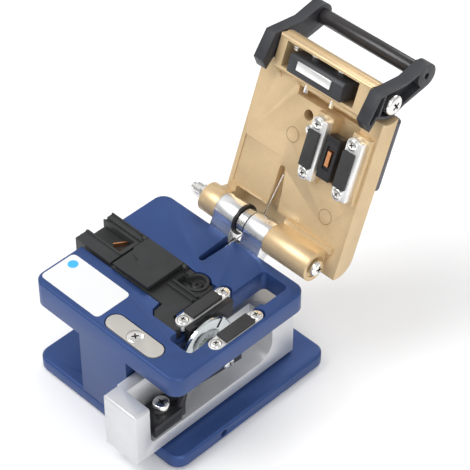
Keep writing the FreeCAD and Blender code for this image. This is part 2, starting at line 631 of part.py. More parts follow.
def bearing_block():
    block = new_body("bearing_block")
    grow(block, "X", "bearing_left", "carriage_left",
         rectangle("bearing_front", "bearing_front + bearing_long",
                   "rail_middle - bearing_high / 2", "rail_middle + bearing_high / 2"))
    cut(block, "X", "bearing_left - 1", "channel_floor + rail_deep + slide_gap",
        rectangle("bearing_front - 1", "bearing_front + bearing_long + 1",
                  "rail_middle - rail_high / 2 - slide_gap", "rail_middle + rail_high / 2 + slide_gap"))
    for back in BEARING_SCREW_Y:
        cut(block, "X", "bearing_left", "carriage_left + 1",
            ("disc", back, "rail_middle", "small_shank_radius + fit"))
    finish(block)
    places = [("web_right - 1.1", y, "rail_middle") for y in BEARING_SCREW_Y]
    finish_set("bearing_screws", "deck", "+X", places, "small_head_radius", "1",
               "small_shank_radius", "carriage_web - 1.1 + 3.5")


def blade_arm():
    """Black arm that stands on the carriage floor and carries the blade under the window."""
    arm = new_body("blade_arm")
    grow(arm, "Z", "carriage_floor", "foot_top", [
        ("foot_left", "foot_front + 3.5"), ("foot_left + 3.5", "foot_front"),
        ("foot_right", "foot_front"), ("foot_right", "foot_back - 3"),
        ("foot_right - 3", "foot_back"), ("foot_left", "foot_back")])
    grow(arm, "X", "arm_left", "arm_right", [
        ("foot_back - 3.2", "carriage_floor"), ("foot_back - 0.6", "carriage_floor"),
        ("foot_back - 0.6", "foot_top"), ("foot_back + 0.6", "arm_bottom + 3"),
        ("arm_back - 10", "arm_bottom + 1"), ("arm_back", "arm_bottom"),
        ("arm_back", "arm_top - 3.5"), ("arm_back - 3.5", "arm_top"),
        ("foot_back + 2", "arm_top"), ("foot_back - 3.2", "foot_top")])
    grow(arm, "X", "arm_left", "arm_right", ("disc", "blade_back", "blade_z", "3.5"))
    grow(arm, "X", "blade_right + hub_thick + slide_gap", "arm_left", ("disc", "blade_back", "blade_z", "2.9"))
    cut(arm, "X", "blade_right", "arm_right + 1",
        ("disc", "blade_back", "blade_z", "striker_shank_radius + fit"))
    cut(arm, "X", "arm_left - 1", "arm_right + 1", ("disc", *LOCK_SCREW, "small_shank_radius + fit"))
    cut(arm, "Z", "carriage_floor - 1", "foot_top + 1",
        ("disc", *FOOT_SCREW, "striker_shank_radius + fit"))
    cut(arm, "Z", "foot_top - 2.6", "foot_top + 1", ("disc", "51.8", "9.4", "1.2 + fit"))
    finish(arm)
    finish_set("arm_foot_screw", "deck", "+Z", [(*FOOT_SCREW, "foot_top")], "2.6", "3.4",
               "striker_shank_radius", "foot_tall + 4")
    finish_set("arm_height_screw", "deck", "+Z", [("51.8", "9.4", "foot_top - 1.2")], "1.2", "0.6",
               "0.8", "1.3")
    finish_set("arm_lock_screw", "deck", "+X", [("arm_right", *LOCK_SCREW)], "2.1", "1.2",
               "small_shank_radius", "arm_thick + 0.8")


def blade():
    disc = new_body("blade_disc")
    grow(disc, "X", "blade_x", "blade_right", ("disc", "blade_back", "blade_z", "blade_radius"))
    soften(disc, "blade_thick * 0.35", lambda edge, box: near(edge.Length, 2 * 3.14159265 * SIZES["blade_radius"]),
           kind="Chamfer")
    cut(disc, "X", "blade_x - 1", "blade_right + 1",
        ("disc", "blade_back", "blade_z", "blade_bore_radius"))
    finish(disc)
    hub = new_body("blade_index_hub")
    grow(hub, "X", "blade_right", "blade_right + hub_thick", ("disc", "blade_back", "blade_z", "hub_radius"))
    grow(hub, "X", "blade_x + fit", "blade_right", ("disc", "blade_back", "blade_z", "blade_bore_radius - fit"))
    cut(hub, "X", "blade_x", "blade_right + 2",
        ("disc", "blade_back", "blade_z", "striker_shank_radius + fit"))
    finish(hub)
    finish_set("blade_axle_screw", "deck", "-X", [("blade_x - slide_gap", "blade_back", "blade_z")],
               "2.9", "0.8", "striker_shank_radius", "arm_right - blade_x + slide_gap - 0.2")


# ---------------------------------------------------------------- fibre adapter
DERIVED.update({
    "adapter_low": "0 - bay_deep",
    "adapter_front": "bay_front + adapter_gap",
    "adapter_back": "bay_back - adapter_gap",
    "cover_hinge_back": "bay_back - adapter_gap - cover_barrel_radius",
    "cover_hinge_up": "cover_barrel_radius",
})


def adapter():
    body = new_body("adapter_body")
    grow(body, "Z", "adapter_low", "adapter_shelf", [
        ("0 - adapter_overhang", "adapter_front"), ("bay_foot_left + adapter_gap", "adapter_front"),
        ("bay_foot_left + 0.9", "bay_foot_front + 2"), ("bay_foot_left + 2.8", "bay_foot_front + 0.3"),
        ("window_left - 1.3", "bay_foot_front + 0.3"), ("window_left - 0.7", "clamp_front - 2.6"),
        ("bay_right - 0.8", "clamp_front - 0.6"), ("bay_right - adapter_gap", "adapter_front + 0.4"),
        ("bay_right - adapter_gap", "adapter_back"), ("0 - adapter_overhang", "adapter_back")])
    grow(body, "Z", "adapter_low", "0", ("disc", "ear_at", "ear_back", "ear_radius - adapter_gap"))
    cut(body, "Z", "ear_floor", "1", ("disc", "ear_at", "ear_back", "ear_radius - adapter_gap - 0.9"))
    cut(body, "Z", "adapter_low + 1.2", "1", rectangle(
        "cover_right + 1.9", "ear_at - 1", "well_front + 4.4", "adapter_back - 2.4"))
    grow(body, "Z", "adapter_shelf", "0.2", rectangle(
        "cover_right + 1.9", "ear_at - 3.2", "adapter_back - 2", "adapter_back"))
    grow(body, "Z", "adapter_shelf", "adapter_top",
         rectangle("0 - adapter_overhang", "well_right - 0.6", "adapter_front", "adapter_back"))
    for ridge in ("well_front - 1.1", "adapter_back - 0.6"):
        grow(body, "Z", "adapter_top", "adapter_top + 0.4",
             rectangle("0 - adapter_overhang", "well_right - 0.6", ridge, f"{ridge} + 0.6"))
    cut(body, "Z", "adapter_top - well_deep", "adapter_top + 1",
        rectangle("0 - adapter_overhang - 1", "well_right - 2", "well_front", "well_back"))
    cut(body, "Z", "adapter_top - 0.6", "adapter_top + 1",
        rectangle("0 - adapter_overhang - 1", "well_right", "well_back + 0.6", "well_back + 1.6"))
    # the groove that a fibre lies in
    for row in (0, 1):
        across = f"well_front + 1.3 + {row} * (vee_rail_wide + vee_gap)"
        grow(body, "Z", "adapter_shelf", "adapter_shelf + vee_rail_tall",
             rectangle("cover_right + 1.3", "bay_right - 0.9", across, f"{across} + vee_rail_wide"))
    grow(body, "Z", "adapter_shelf", "adapter_shelf + vee_rail_tall",
         rectangle("cover_left + 1", "cover_right - 1", "well_front + 1.3", "well_front + 4.1"))
    cut(body, "Z", "adapter_shelf + vee_rail_tall - 0.25", "1",
        rectangle("cover_left", "cover_right", "well_front + 2.6", "well_front + 2.8"))
    # lugs that hold the cover's pin
    for low, high in (("cover_left - free_gap - 1.3", "cover_left - free_gap"),
                      ("cover_right + free_gap", "cover_right + free_gap + 1.3")):
        grow(body, "X", low, high,
             rectangle("adapter_back - 2 * cover_barrel_radius", "adapter_back",
                       "adapter_shelf", "cover_hinge_up"))
        grow(body, "X", low, high, ("disc", "cover_hinge_back", "cover_hinge_up", "cover_barrel_radius"))
    cut(body, "Z", "adapter_shelf - 0.5", "2", rectangle(
        "cover_left - free_gap", "cover_right + free_gap",
        "adapter_back - 2 * cover_barrel_radius - free_gap", "adapter_back + 0.1"))
    cut(body, "X", "cover_left - free_gap - 2", "cover_right + free_gap + 2",
        ("disc", "cover_hinge_back", "cover_hinge_up", "cover_pin_radius"))
    cut(body, "Z", "adapter_low - 1", "1", ("disc", "ear_at", "ear_back", "small_shank_radius + fit"))
    cut(body, "Z", "adapter_low - 1", "1",
        ("disc", "pad_left_at", "clamp_front", "clamp_plate_width / 2 + seat_gap"))
    finish(body)

    pin = new_body("cover_pin")
    grow(pin, "X", "cover_left - free_gap - 1.3", "cover_right + free_gap + 1.3",
         ("disc", "cover_hinge_back", "cover_hinge_up", "cover_pin_radius"))
    finish(pin)

    clip = new_body("adapter_clip")
    grow(clip, "Z", "adapter_top - well_deep", "adapter_top - well_deep + 1.4",
         [("5.6", "well_front + 2.4"), ("6", "well_front + 2.2"), ("8.4", "well_back - 0.4"),
          ("8", "well_back - 0.2")])
    finish(clip)
    finish_set("adapter_screw", "deck", "+Z", [("ear_at", "ear_back", "ear_floor")], "small_head_radius",
               "small_head_tall", "small_shank_radius", "bay_deep + ear_floor + 3.5")


def adapter_cover():
    """Flip cover that holds the fibre in its groove."""
    cover = new_body("adapter_cover")
    plate_low = "cover_hinge_up + cover_barrel_radius - cover_thick"
    plate_high = "cover_hinge_up + cover_barrel_radius"
    grow(cover, "Z", plate_low, plate_high, [
        ("cover_left", "cover_hinge_back"), ("cover_left", "adapter_front + 9"),
        ("cover_left + 2", "adapter_front + 7"), ("cover_left + 5", "adapter_front + 6.3"),
        ("cover_left + 6.6", "adapter_front + 4"), ("cover_left + 6.9", "adapter_front"),
        ("cover_right", "adapter_front"), ("cover_right", "cover_hinge_back")])
    soften(cover, "0.6", lambda edge, box: along(edge, "Z"))
    grow(cover, "Z", plate_low, f"{plate_high} - 0.45",
         rectangle("cover_left + 0.2", "cover_right - 5", "adapter_front", "adapter_front + 9"))
    grow(cover, "Z", "adapter_shelf + 0.15", plate_low,
         rectangle("cover_right - 7.5", "cover_right - 1.2", "adapter_front + 0.8", "well_front + 0.9"))
    grow(cover, "X", "cover_left", "cover_right",
         ("disc", "cover_hinge_back", "cover_hinge_up", "cover_barrel_radius"))
    cut(cover, "X", "cover_left - 1", "cover_right + 1",
        ("disc", "cover_hinge_back", "cover_hinge_up", "cover_pin_radius + fit"))
    return finish(cover)


# ---------------------------------------------------------------- lid
DERIVED.update({
    "lid_outer": "lid_inner + lid_thick",
    "lid_end": "0 - lid_length",
    "rim_face": "lid_inner - lid_rim_tall",
    "web_left": "lever_left_at + lever_thick + 0.4",
    "web_right_side": "lever_right_at - 0.5",
    "pivot_y": "0 - pivot_out",
    "bar_y": "0 - bar_out",
    "upper_pad_y": "pad_middle - hinge_y",
    "upper_front": "pad_middle - clamp_screw_front - hinge_y",
    "upper_rear": "pad_middle + clamp_screw_back - hinge_y",
    "upper_plate_face": "0 - 0.4",
    "boss_face": "clamp_plate_thick - 0.4",
    "pocket_floor": "lid_inner + 3",
    "recess_floor": "lid_inner + 4",
    "cover_face": "lid_inner + lid_thick + lid_cover_thick",
})
EXTRA_SCREW = ("pad_left_at - 4.9", "upper_pad_y - 3")
COVER_SCREWS = [(x, y) for x in ("lid_left + 5", "lid_right - 5")
                for y in ("0 - lid_cover_back - 5.2", "0 - lid_cover_front + 10")]
MAGNET_SCREW_X = ("magnet_left + 1.3", "magnet_left + magnet_long - 1.7")
STEM_Y = ("upper_pad_y - 3.8", "upper_pad_y + 3.8")


def lid_casting():
    lid = new_body("lid_casting")
    grow(lid, "X", "lid_left", "lid_right",
         rectangle("lid_end", "lid_heel", "lid_inner", "lid_outer"))
    soften(lid, "lid_round", lambda edge, box: along(edge, "X") and near(edge.CenterOfMass.z, box.ZMax))
    # raised rim round the magnet
    grow(lid, "Z", "rim_face", "lid_inner",
         rectangle("web_left", "web_right_side", "lid_end + 0.3", "lid_end + lid_rim_deep"))
    soften(lid, "0.5", lambda edge, box: on_level(edge, "Z", box.ZMin), kind="Chamfer")
    # knuckles and the step beside them
    for low, high in (("knuckle_left_at", "knuckle_a - slide_gap"), ("knuckle_d + slide_gap", "knuckle_right_at")):
        grow(lid, "X", low, high, ("disc", "0", "0", "knuckle_radius"))
    for low, high in (("lid_left", "knuckle_a - slide_gap"), ("knuckle_d + slide_gap", "knuckle_right_at")):
        grow(lid, "X", low, high, rectangle("0 - knuckle_radius", "lid_heel", "0", "lid_inner + 1"))
    grow(lid, "Z", "lid_inner - 0.8", "lid_inner", rectangle(
        "lid_left + 1.5", "lid_right - 3.4", "0 - lid_cutout_length", "0 - knuckle_radius + 0.5"))
    cut(lid, "Z", "0 - 6", "lid_outer - lid_skin", rectangle(
        "knuckle_a - slide_gap", "knuckle_d + slide_gap", "0 - lid_cutout_length", "lid_heel + 3"))
    cut(lid, "X", "knuckle_right_at - 0.5", "knuckle_right_at + 1", ("disc", "0", "0", "pin_head_radius + 0.9"))
    cut(lid, "X", "knuckle_left_at - 1", "knuckle_right_at + 1", ("disc", "0", "0", "pin_radius + fit"))
    # room for the lever's two arms
    for low, high in (("lid_left - 1", "web_left"), ("web_right_side", "lid_right + 1")):
        cut(lid, "X", low, high,
            rectangle("lid_end - 1", "pivot_y", "0 - 1", "lid_outer + 1"))
        cut(lid, "X", low, high, ("disc", "pivot_y", "pivot_up", "pivot_clear_radius"))
    for low, high in (("web_left - 1", "web_left + lid_rim_wall"),
                      ("web_right_side - lid_rim_wall", "web_right_side + 1")):
        cut(lid, "X", low, high, ("disc", "pivot_y", "pivot_up", "pivot_pin_radius + fit"))
    # magnet recess and the slot that its screws reach
    cut(lid, "Z", "rim_face - 1", "recess_floor", rectangle(
        "web_left + lid_rim_wall", "web_right_side - lid_rim_wall - 1.3",
        "lid_end + 1.5", "lid_end + 9.8"))
    cut(lid, "Z", "lid_inner - 1", "lid_inner + 5",
        rectangle("32.5", "58", "lid_end + 13.6", "lid_end + 16.5"))
    for across in MAGNET_SCREW_X:
        cut(lid, "Y", "lid_end + 8.8", "lid_end + 16.5", ("disc", across, "lid_inner + 1", "small_shank_radius + fit"))
    # pocket of the anvil, with raised seats for the clamp plates
    cut(lid, "Z", "lid_inner - 1", "pocket_floor",
        rectangle("pad_left_at - 1.5", "pad_right_at - 2.8", "upper_front - 3.3", "upper_rear + 0.5"))
    for across, left, right in (("pad_left_at", "2.7", "3.4"), ("pad_right_at", "2.6", "4.2")):
        grow(lid, "Z", "boss_face", "pocket_floor", rectangle(
            f"{across} - {left}", f"{across} + {right}", "upper_front - 2.7", "upper_rear + 2.7"))
        for out in ("upper_front", "upper_rear"):
            cut(lid, "Z", "boss_face - 1", "boss_face + small_shank_long",
                ("disc", across, out, "small_shank_radius + fit"))
    for out in STEM_Y:
        cut(lid, "Z", "pocket_floor - 1", "lid_outer - 0.6",
            ("disc", "anvil_left + anvil_width / 2", out, "1.2 + fit"))
    # spring groove, square panel, holes and small moulding marks
    cut(lid, "Z", "lid_inner - 1", "lid_inner + 2.6", [
        ("knuckle_c - 0.7", "0 - 6"), ("knuckle_c + 0.1", "0 - 12"), ("knuckle_c + 0.1", "0 - 20.3"),
        ("knuckle_c + 2.5", "0 - 20.3"),
        ("knuckle_d - 4.3", "0 - 12"), ("knuckle_d - 4", "0 - 6")])
    cut(lid, "Z", "lid_inner - 1", "lid_inner + 2.6", ("disc", "knuckle_c + 1.3", "0 - 20.3", "1.2"))
    cut(lid, "Z", "lid_inner - 1", "lid_inner + square_panel_deep",
        rectangle("lid_left + 1.5", "knuckle_c - 0.8", "0 - 24", "0 - lid_cutout_length - 1"))
    cut(lid, "Z", "lid_inner - 1", "lid_outer + 1", ("disc", "38.6", "lid_end + 20.8", "1.75"))
    for across, out in (("35.1", "0 - 32.5"), ("55.3", "0 - 14.4")):
        grow(lid, "Z", "lid_inner - 0.12", "lid_inner", ("disc", across, out, "2.2"))
    for across in ("24", "31.9"):
        grow(lid, "Z", "lid_inner - 0.5", "lid_inner", ("disc", across, "lid_end + 14", "0.9"))
    cut(lid, "Z", "lid_inner - 1", "lid_inner + 4.5", ("disc", *EXTRA_SCREW, "small_shank_radius + fit"))
    for across, out in COVER_SCREWS:
        cut(lid, "Z", "lid_outer - 4", "lid_outer + 1", ("disc", across, out, "small_shank_radius + fit"))
    return finish(lid, "lid")


def lid_cover():
    cover = new_body("lid_cover")
    grow(cover, "Z", "lid_outer", "cover_face",
         rectangle("lid_left", "lid_right", "0 - lid_cover_front", "0 - lid_cover_back"))
    soften(cover, "lid_cover_round", lambda edge, box: on_level(edge, "Z", box.ZMax))
    for low, high in (("lid_left - 1", "web_left"), ("web_right_side", "lid_right + 1")):
        cut(cover, "X", low, high,
            rectangle("0 - lid_cover_front - 1", "pivot_clear_radius - pivot_out + 0.4",
                      "lid_outer - 1", "cover_face + 1"))
    for across, out in COVER_SCREWS:
        cut(cover, "Z", "lid_outer - 1", "cover_face + 1", ("disc", across, out, "small_shank_radius + fit"))
        cut(cover, "Z", "cover_face - 1.6", "cover_face + 1", ("disc", across, out, "small_head_radius + fit"))
    finish(cover, "lid")
    places = [(x, y, "cover_face - 1.6") for x, y in COVER_SCREWS]
    finish_set("lid_cover_screws", "lid", "+Z", places, "small_head_radius", "1.2",
               "small_shank_radius", "lid_cover_thick - 1.6 + 3.5")


def upper_clamps():
    for side in ("left", "right"):
        across = f"pad_{side}_at"
        plate = new_body(f"upper_{side}_clamp_plate")
        stadium(plate, grow, "Z", "upper_plate_face", "boss_face", across, "upper_front",
                "upper_rear", "clamp_plate_width / 2")
        grow(plate, "Z", "upper_plate_face", "boss_face", rectangle(
            across, f"{across} + upper_plate_reach", "upper_front - 1.6", "upper_rear + 1.6"))
        for out in ("upper_front", "upper_rear"):
            cut(plate, "Z", "upper_plate_face - 1", "boss_face + 1",
                ("disc", across, out, "small_shank_radius + fit"))
        finish(plate, "lid")
        pad = new_body(f"upper_{side}_pad")
        grow(pad, "Z", "upper_plate_face - pad_thick", "upper_plate_face", rectangle(
            f"{across} - pad_width / 2", f"{across} + pad_width / 2",
            "upper_pad_y - pad_length / 2", "upper_pad_y + pad_length / 2"))
        finish(pad, "lid")
    places = [(x, y, "upper_plate_face") for x in ("pad_left_at", "pad_right_at")
              for y in ("upper_front", "upper_rear")]
    finish_set("upper_clamp_screws", "lid", "-Z", places, "small_head_radius", "small_head_tall",
               "small_shank_radius", "clamp_plate_thick + small_shank_long - 0.5")
    finish_set("upper_stop_screw", "lid", "-Z", [(*EXTRA_SCREW, "lid_inner")], "small_head_radius",
               "small_head_tall", "small_shank_radius", "4")


def magnet():
    holder = new_body("magnet_holder")
    grow(holder, "X", "holder_left", "holder_right", [
        ("0 - magnet_at - 2.5", "recess_floor"), ("0 - magnet_at - 2.5", "0 - 1"),
        ("0 - magnet_at - 1.6", "0 - 1.6"), ("0 - magnet_at + 3.5", "0 - 1.2"),
        ("0 - magnet_at + 3.5", "recess_floor")])
    left, right = "magnet_left", "magnet_left + magnet_long"
    low, high = "0 - magnet_at - magnet_wide / 2", "0 - magnet_at + magnet_wide / 2"
    cut(holder, "Z", "0 - 3", "magnet_face + magnet_thick",
        rectangle(f"{left} - fit", f"{right} + fit", f"{low} - fit", f"{high} + fit"))
    for across in MAGNET_SCREW_X:
        cut(holder, "Y", "0 - magnet_at - 4", "0 - magnet_at + 5", ("disc", across, "lid_inner + 1", "small_shank_radius + fit"))
    finish(holder, "lid")
    block = new_body("magnet")
    grow(block, "Z", "magnet_face", "magnet_face + magnet_thick", rectangle(left, right, low, high))
    finish(block, "lid")
    places = [(x, "0 - magnet_at - 2.5", "lid_inner + 1") for x in MAGNET_SCREW_X]
    finish_set("magnet_screws", "lid", "-Y", places, "1.7", "1.1", "small_shank_radius", "12")


def spring_lid_leg():
    """Upper end of the torsion spring's wire, lying slanted in the lid's groove."""
    wire = revolved("spring_leg_wire", [
        ("0", "0"), ("coil_wire / 2", "0"), ("coil_wire / 2", "spring_leg_long"), ("0", "spring_leg_long")])
    slant = FreeCAD.Rotation(FreeCAD.Vector(0, 0, 1), FreeCAD.Vector(0.17, -1, 0))
    wire.Placement = FreeCAD.Placement(FreeCAD.Vector(), slant)
    bind(wire, "Placement.Base.x", "knuckle_c - 1.3")
    bind(wire, "Placement.Base.y", "0.5")
    bind(wire, "Placement.Base.z", "coil_radius + coil_wire / 2 + fit")
    group = doc.addObject("Part::Compound", "spring_lid_leg")
    group.Label = "spring_lid_leg"
    group.Links = [wire]
    return finish(group, "lid")


def lever_pivots():
    left = screw("lever_pivot_left", "-X", ("lever_left_at - slide_gap", "pivot_y", "pivot_up"),
                 "pivot_head_radius", "pivot_head_tall", "pivot_pin_radius", "lever_thick + lid_rim_wall")
    right = screw("lever_pivot_right", "+X", ("lever_right_at + lever_thick + slide_gap", "pivot_y", "pivot_up"),
                  "pivot_head_radius", "pivot_head_tall", "pivot_pin_radius", "lever_thick + lid_rim_wall")
    group = doc.addObject("Part::Compound", "lever_pivots")
    group.Label = "lever_pivots"
    group.Links = [left, right]
    return finish(group, "lid")


# ---------------------------------------------------------------- lever and anvil
def lever():
    side_view = [
        ("bar_y - 3.9", "bar_up - 1.9"), ("bar_y + 0.5", "bar_up - 8.9"),
        ("pivot_y - 3.9", "0 - 0.8"), ("pivot_y + 5.2", "0 - 3.2"),
        ("pivot_y + 8.3", "0 - 0.5"), ("pivot_y + 4.2", "1.45"),
        ("pivot_y + 5.1", "pivot_up - 1"), ("pivot_y + 4.9", "pivot_up + 2"),
        ("pivot_y + 1.5", "pivot_up + 6.5"), ("bar_y + 3.6", "bar_up + 1.8")]
    hollow = [
        ("bar_y - 1.6", "bar_up - 2.6"), ("bar_y + 1.7", "bar_up - 8.8"), ("pivot_y - 2.7", "0.4"),
        ("pivot_y + 5", "0 - 1.75"), ("pivot_y + 6.4", "0 - 0.7"), ("pivot_y + 3.2", "0.7"),
        ("pivot_y + 4", "pivot_up - 1.2"), ("pivot_y + 3.9", "pivot_up + 1.7"),
        ("pivot_y + 0.7", "pivot_up + 5.6"), ("bar_y + 2.3", "bar_up + 0.6")]
    rib = [("pivot_y - 3.4", "1.9"), ("pivot_y + 4.4", "1.5"), ("pivot_y + 4.4", "2.5"), ("pivot_y - 3.4", "2.9")]
    wall = "1.1"
    for name, low, outside in (("lever_arm_left", "lever_left_at", -1), ("lever_arm_right", "lever_right_at", 1)):
        arm = new_body(name)
        high = f"{low} + lever_thick"
        grow(arm, "X", low, high, side_view)
        grow(arm, "X", low, high, ("disc", "bar_y", "bar_up", "bar_boss_radius"))
        grow(arm, "X", low, high, ("disc", "pivot_y", "pivot_up", "pivot_boss_radius"))
        span = (f"{low} - 1", f"{high} - {wall}") if outside < 0 else (f"{low} + {wall}", f"{high} + 1")
        cut(arm, "X", *span, hollow)
        grow(arm, "X", low, high, rib)
        grow(arm, "X", low, high, ("disc", "bar_y", "bar_up", "bar_boss_radius - 0.2"))
        grow(arm, "X", low, high, ("disc", "pivot_y", "pivot_up", "pivot_head_radius"))
        cut(arm, "X", *span, ("disc", "bar_y", "bar_up", "1"))
        cut(arm, "X", f"{low} - 1", f"{high} + 1", ("disc", "pivot_y", "pivot_up", "pivot_pin_radius + fit"))
        inner = (f"{high} - 3", f"{high} + 1") if outside < 0 else (f"{low} - 1", f"{low} + 3")
        cut(arm, "X", *inner, ("disc", "bar_y", "bar_up", "1.4 + fit"))
        finish(arm, "lid")
    bar = new_body("lever_bar")
    start, end = "lever_left_at + lever_thick", "lever_right_at"
    grow(bar, "X", start, end, ("disc", "bar_y", "bar_up", "bar_radius"))
    grow(bar, "X", f"{start} - 2.9", f"{end} + 2.9", ("disc", "bar_y", "bar_up", "1.4"))
    finish(bar, "lid")


def anvil():
    body = new_body("anvil_body")
    middle, right = "anvil_left + anvil_width / 2", "anvil_left + anvil_width"
    low, high = "upper_pad_y - anvil_length / 2", "upper_pad_y + anvil_length / 2"
    grow(body, "Z", "anvil_face", "lid_inner", rectangle("anvil_left", right, low, high))
    for out in STEM_Y:
        grow(body, "Z", "lid_inner", "lid_outer - 1", ("disc", middle, out, "1.2"))
    insert_box = ("anvil_insert_width / 2", "anvil_insert_length / 2")
    cut(body, "Z", "anvil_face - 1", "anvil_face + 0.7", rectangle(
        f"{middle} - {insert_box[0]} - 0.7", f"{middle} + {insert_box[0]} + 0.7",
        f"upper_pad_y - {insert_box[1]} - 1.4", f"upper_pad_y + {insert_box[1]} + 1.4"))
    cut(body, "Z", "anvil_face - 1", "anvil_face + 1.2", rectangle(
        f"{middle} - {insert_box[0]} - fit", f"{middle} + {insert_box[0]} + fit",
        f"upper_pad_y - {insert_box[1]} - fit", f"upper_pad_y + {insert_box[1]} + fit"))
    finish(body, "lid")
    insert = new_body("anvil_insert")
    grow(insert, "Z", "anvil_face - 0.1", "anvil_face + 1.2", rectangle(
        f"{middle} - {insert_box[0]}", f"{middle} + {insert_box[0]}",
        f"upper_pad_y - {insert_box[1]}", f"upper_pad_y + {insert_box[1]}"))
    finish(insert, "lid")


# ---------------------------------------------------------------- build, check and write
for make in (base_plate, sole_pad, base_screws, main_frame, striker_plate, lower_clamps,
             blade_guard, hinge_bracket, hinge_pin, hinge_washers, torsion_spring, guide_rail,
             adapter, adapter_cover, carriage, bearing_block, blade_arm, blade, lid_casting,
             lid_cover, upper_clamps, magnet, spring_lid_leg, lever_pivots, lever, anvil):
    make()
doc.recompute()

for item in doc.Objects:
    if "Invalid" in item.State or "Error" in item.State:
        raise RuntimeError(f"{item.Label} did not build: {item.State}")
for piece in PIECES:
    if piece.Shape.isNull() or not piece.Shape.isValid():
        raise RuntimeError(f"{piece.Label} has no valid shape")

os.makedirs("parts", exist_ok=True)
for piece in PIECES:
    piece.Shape.exportStep(f"parts/{piece.Label}.step")
print(f"{len(PIECES)} pieces written")
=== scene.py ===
import math
import bpy
import bmesh
import numpy as np
from mathutils import Matrix, Vector
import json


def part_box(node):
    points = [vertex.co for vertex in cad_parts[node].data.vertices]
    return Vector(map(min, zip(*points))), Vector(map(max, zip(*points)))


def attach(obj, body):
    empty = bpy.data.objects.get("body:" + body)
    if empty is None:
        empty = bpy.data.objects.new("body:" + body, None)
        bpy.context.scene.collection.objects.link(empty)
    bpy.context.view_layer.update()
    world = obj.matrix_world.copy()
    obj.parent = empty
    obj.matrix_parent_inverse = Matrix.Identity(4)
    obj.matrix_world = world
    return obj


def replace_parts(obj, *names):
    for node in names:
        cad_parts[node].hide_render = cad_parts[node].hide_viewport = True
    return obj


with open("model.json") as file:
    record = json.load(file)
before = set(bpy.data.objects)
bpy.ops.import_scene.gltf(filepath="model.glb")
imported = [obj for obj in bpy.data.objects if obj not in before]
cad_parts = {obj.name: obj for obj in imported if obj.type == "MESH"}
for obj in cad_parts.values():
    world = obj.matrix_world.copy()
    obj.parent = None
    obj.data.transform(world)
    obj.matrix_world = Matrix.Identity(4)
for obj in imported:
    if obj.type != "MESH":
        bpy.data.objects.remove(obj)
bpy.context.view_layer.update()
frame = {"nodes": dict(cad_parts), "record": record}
nodes = frame["nodes"]
mm = 0.001
weldGap = 1e-6

# open lid, as the frame stands at rest
lidPose = {"openAngle": 111, "hinge": (0, 29.2, 42.7)}
lidTurn = Matrix.Rotation(math.radians(-lidPose["openAngle"]), 4, "X")
lidOut = (lidTurn @ Vector((0, 0, 1))).normalized()  # away from the deck when closed
lidEnd = (lidTurn @ Vector((0, -1, 0))).normalized()  # towards the lid's free end
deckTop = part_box("main_frame")[1][2]
print("frame loaded")


# ---- finishes
def finish(name, colour, metallic=0.0, roughness=0.5, specular=0.5):
    material = bpy.data.materials.new(name)
    material.use_nodes = True
    tree = material.node_tree
    shader = tree.nodes["Principled BSDF"]
    shader.inputs["Base Color"].default_value = (*colour, 1)
    shader.inputs["Metallic"].default_value = metallic
    shader.inputs["Roughness"].default_value = roughness
    shader.inputs["Specular IOR Level"].default_value = specular
    return material, tree, shader


def addNode(tree, kind, **values):
    node = tree.nodes.new(kind)
    for key, value in values.items():
        setattr(node, key, value)
    return node


def objectSpace(tree, scale=(1, 1, 1)):
    coords = addNode(tree, "ShaderNodeTexCoord")
    mapping = addNode(tree, "ShaderNodeMapping")
    mapping.inputs["Scale"].default_value = scale
    tree.links.new(coords.outputs["Object"], mapping.inputs["Vector"])
    return mapping.outputs["Vector"]


def noise(tree, space, scale, detail=3.0, roughness=0.55):
    texture = addNode(tree, "ShaderNodeTexNoise")
    texture.inputs["Scale"].default_value = scale
    texture.inputs["Detail"].default_value = detail
    texture.inputs["Roughness"].default_value = roughness
    tree.links.new(space, texture.inputs["Vector"])
    return texture.outputs["Fac"]


def ramp(tree, source, stops):
    node = addNode(tree, "ShaderNodeValToRGB")
    bar = node.color_ramp
    bar.elements[0].position, bar.elements[0].color = stops[0][0], (*stops[0][1], 1)
    bar.elements[1].position, bar.elements[1].color = stops[-1][0], (*stops[-1][1], 1)
    for position, colour in stops[1:-1]:
        bar.elements.new(position).color = (*colour, 1)
    tree.links.new(source, node.inputs["Fac"])
    return node.outputs["Color"]


def roughen(tree, shader, source, low, high):
    spread = addNode(tree, "ShaderNodeMapRange")
    spread.inputs["To Min"].default_value = low
    spread.inputs["To Max"].default_value = high
    tree.links.new(source, spread.inputs["Value"])
    tree.links.new(spread.outputs["Result"], shader.inputs["Roughness"])


def grain(tree, shader, source, strength, distance):
    bump = addNode(tree, "ShaderNodeBump")
    bump.inputs["Strength"].default_value = strength
    bump.inputs["Distance"].default_value = distance
    tree.links.new(source, bump.inputs["Height"])
    tree.links.new(bump.outputs["Normal"], shader.inputs["Normal"])


def tint(colour, factor):
    return tuple(min(1.0, channel * factor) for channel in colour)


def blastedMetal(name, colour, metallic, roughness, grainScale, grainDepth, mottle):
    material, tree, shader = finish(name, colour, metallic, roughness)
    space = objectSpace(tree)
    broad = noise(tree, space, 90, 3)
    fine = noise(tree, space, grainScale, 2, 0.7)
    tone = ramp(tree, broad, [(0.3, tint(colour, 1 - mottle)), (0.7, tint(colour, 1 + mottle))])
    speckle = ramp(tree, fine, [(0.35, tint((1, 1, 1), 1 - 1.6 * mottle)), (0.65, (1, 1, 1))])
    mix = addNode(tree, "ShaderNodeMix", data_type="RGBA", blend_type="MULTIPLY")
    mix.inputs["Factor"].default_value = 1
    tree.links.new(tone, mix.inputs["A"])
    tree.links.new(speckle, mix.inputs["B"])
    tree.links.new(mix.outputs["Result"], shader.inputs["Base Color"])
    roughen(tree, shader, fine, roughness - 0.07, roughness + 0.09)
    grain(tree, shader, fine, 0.35, grainDepth)
    return material


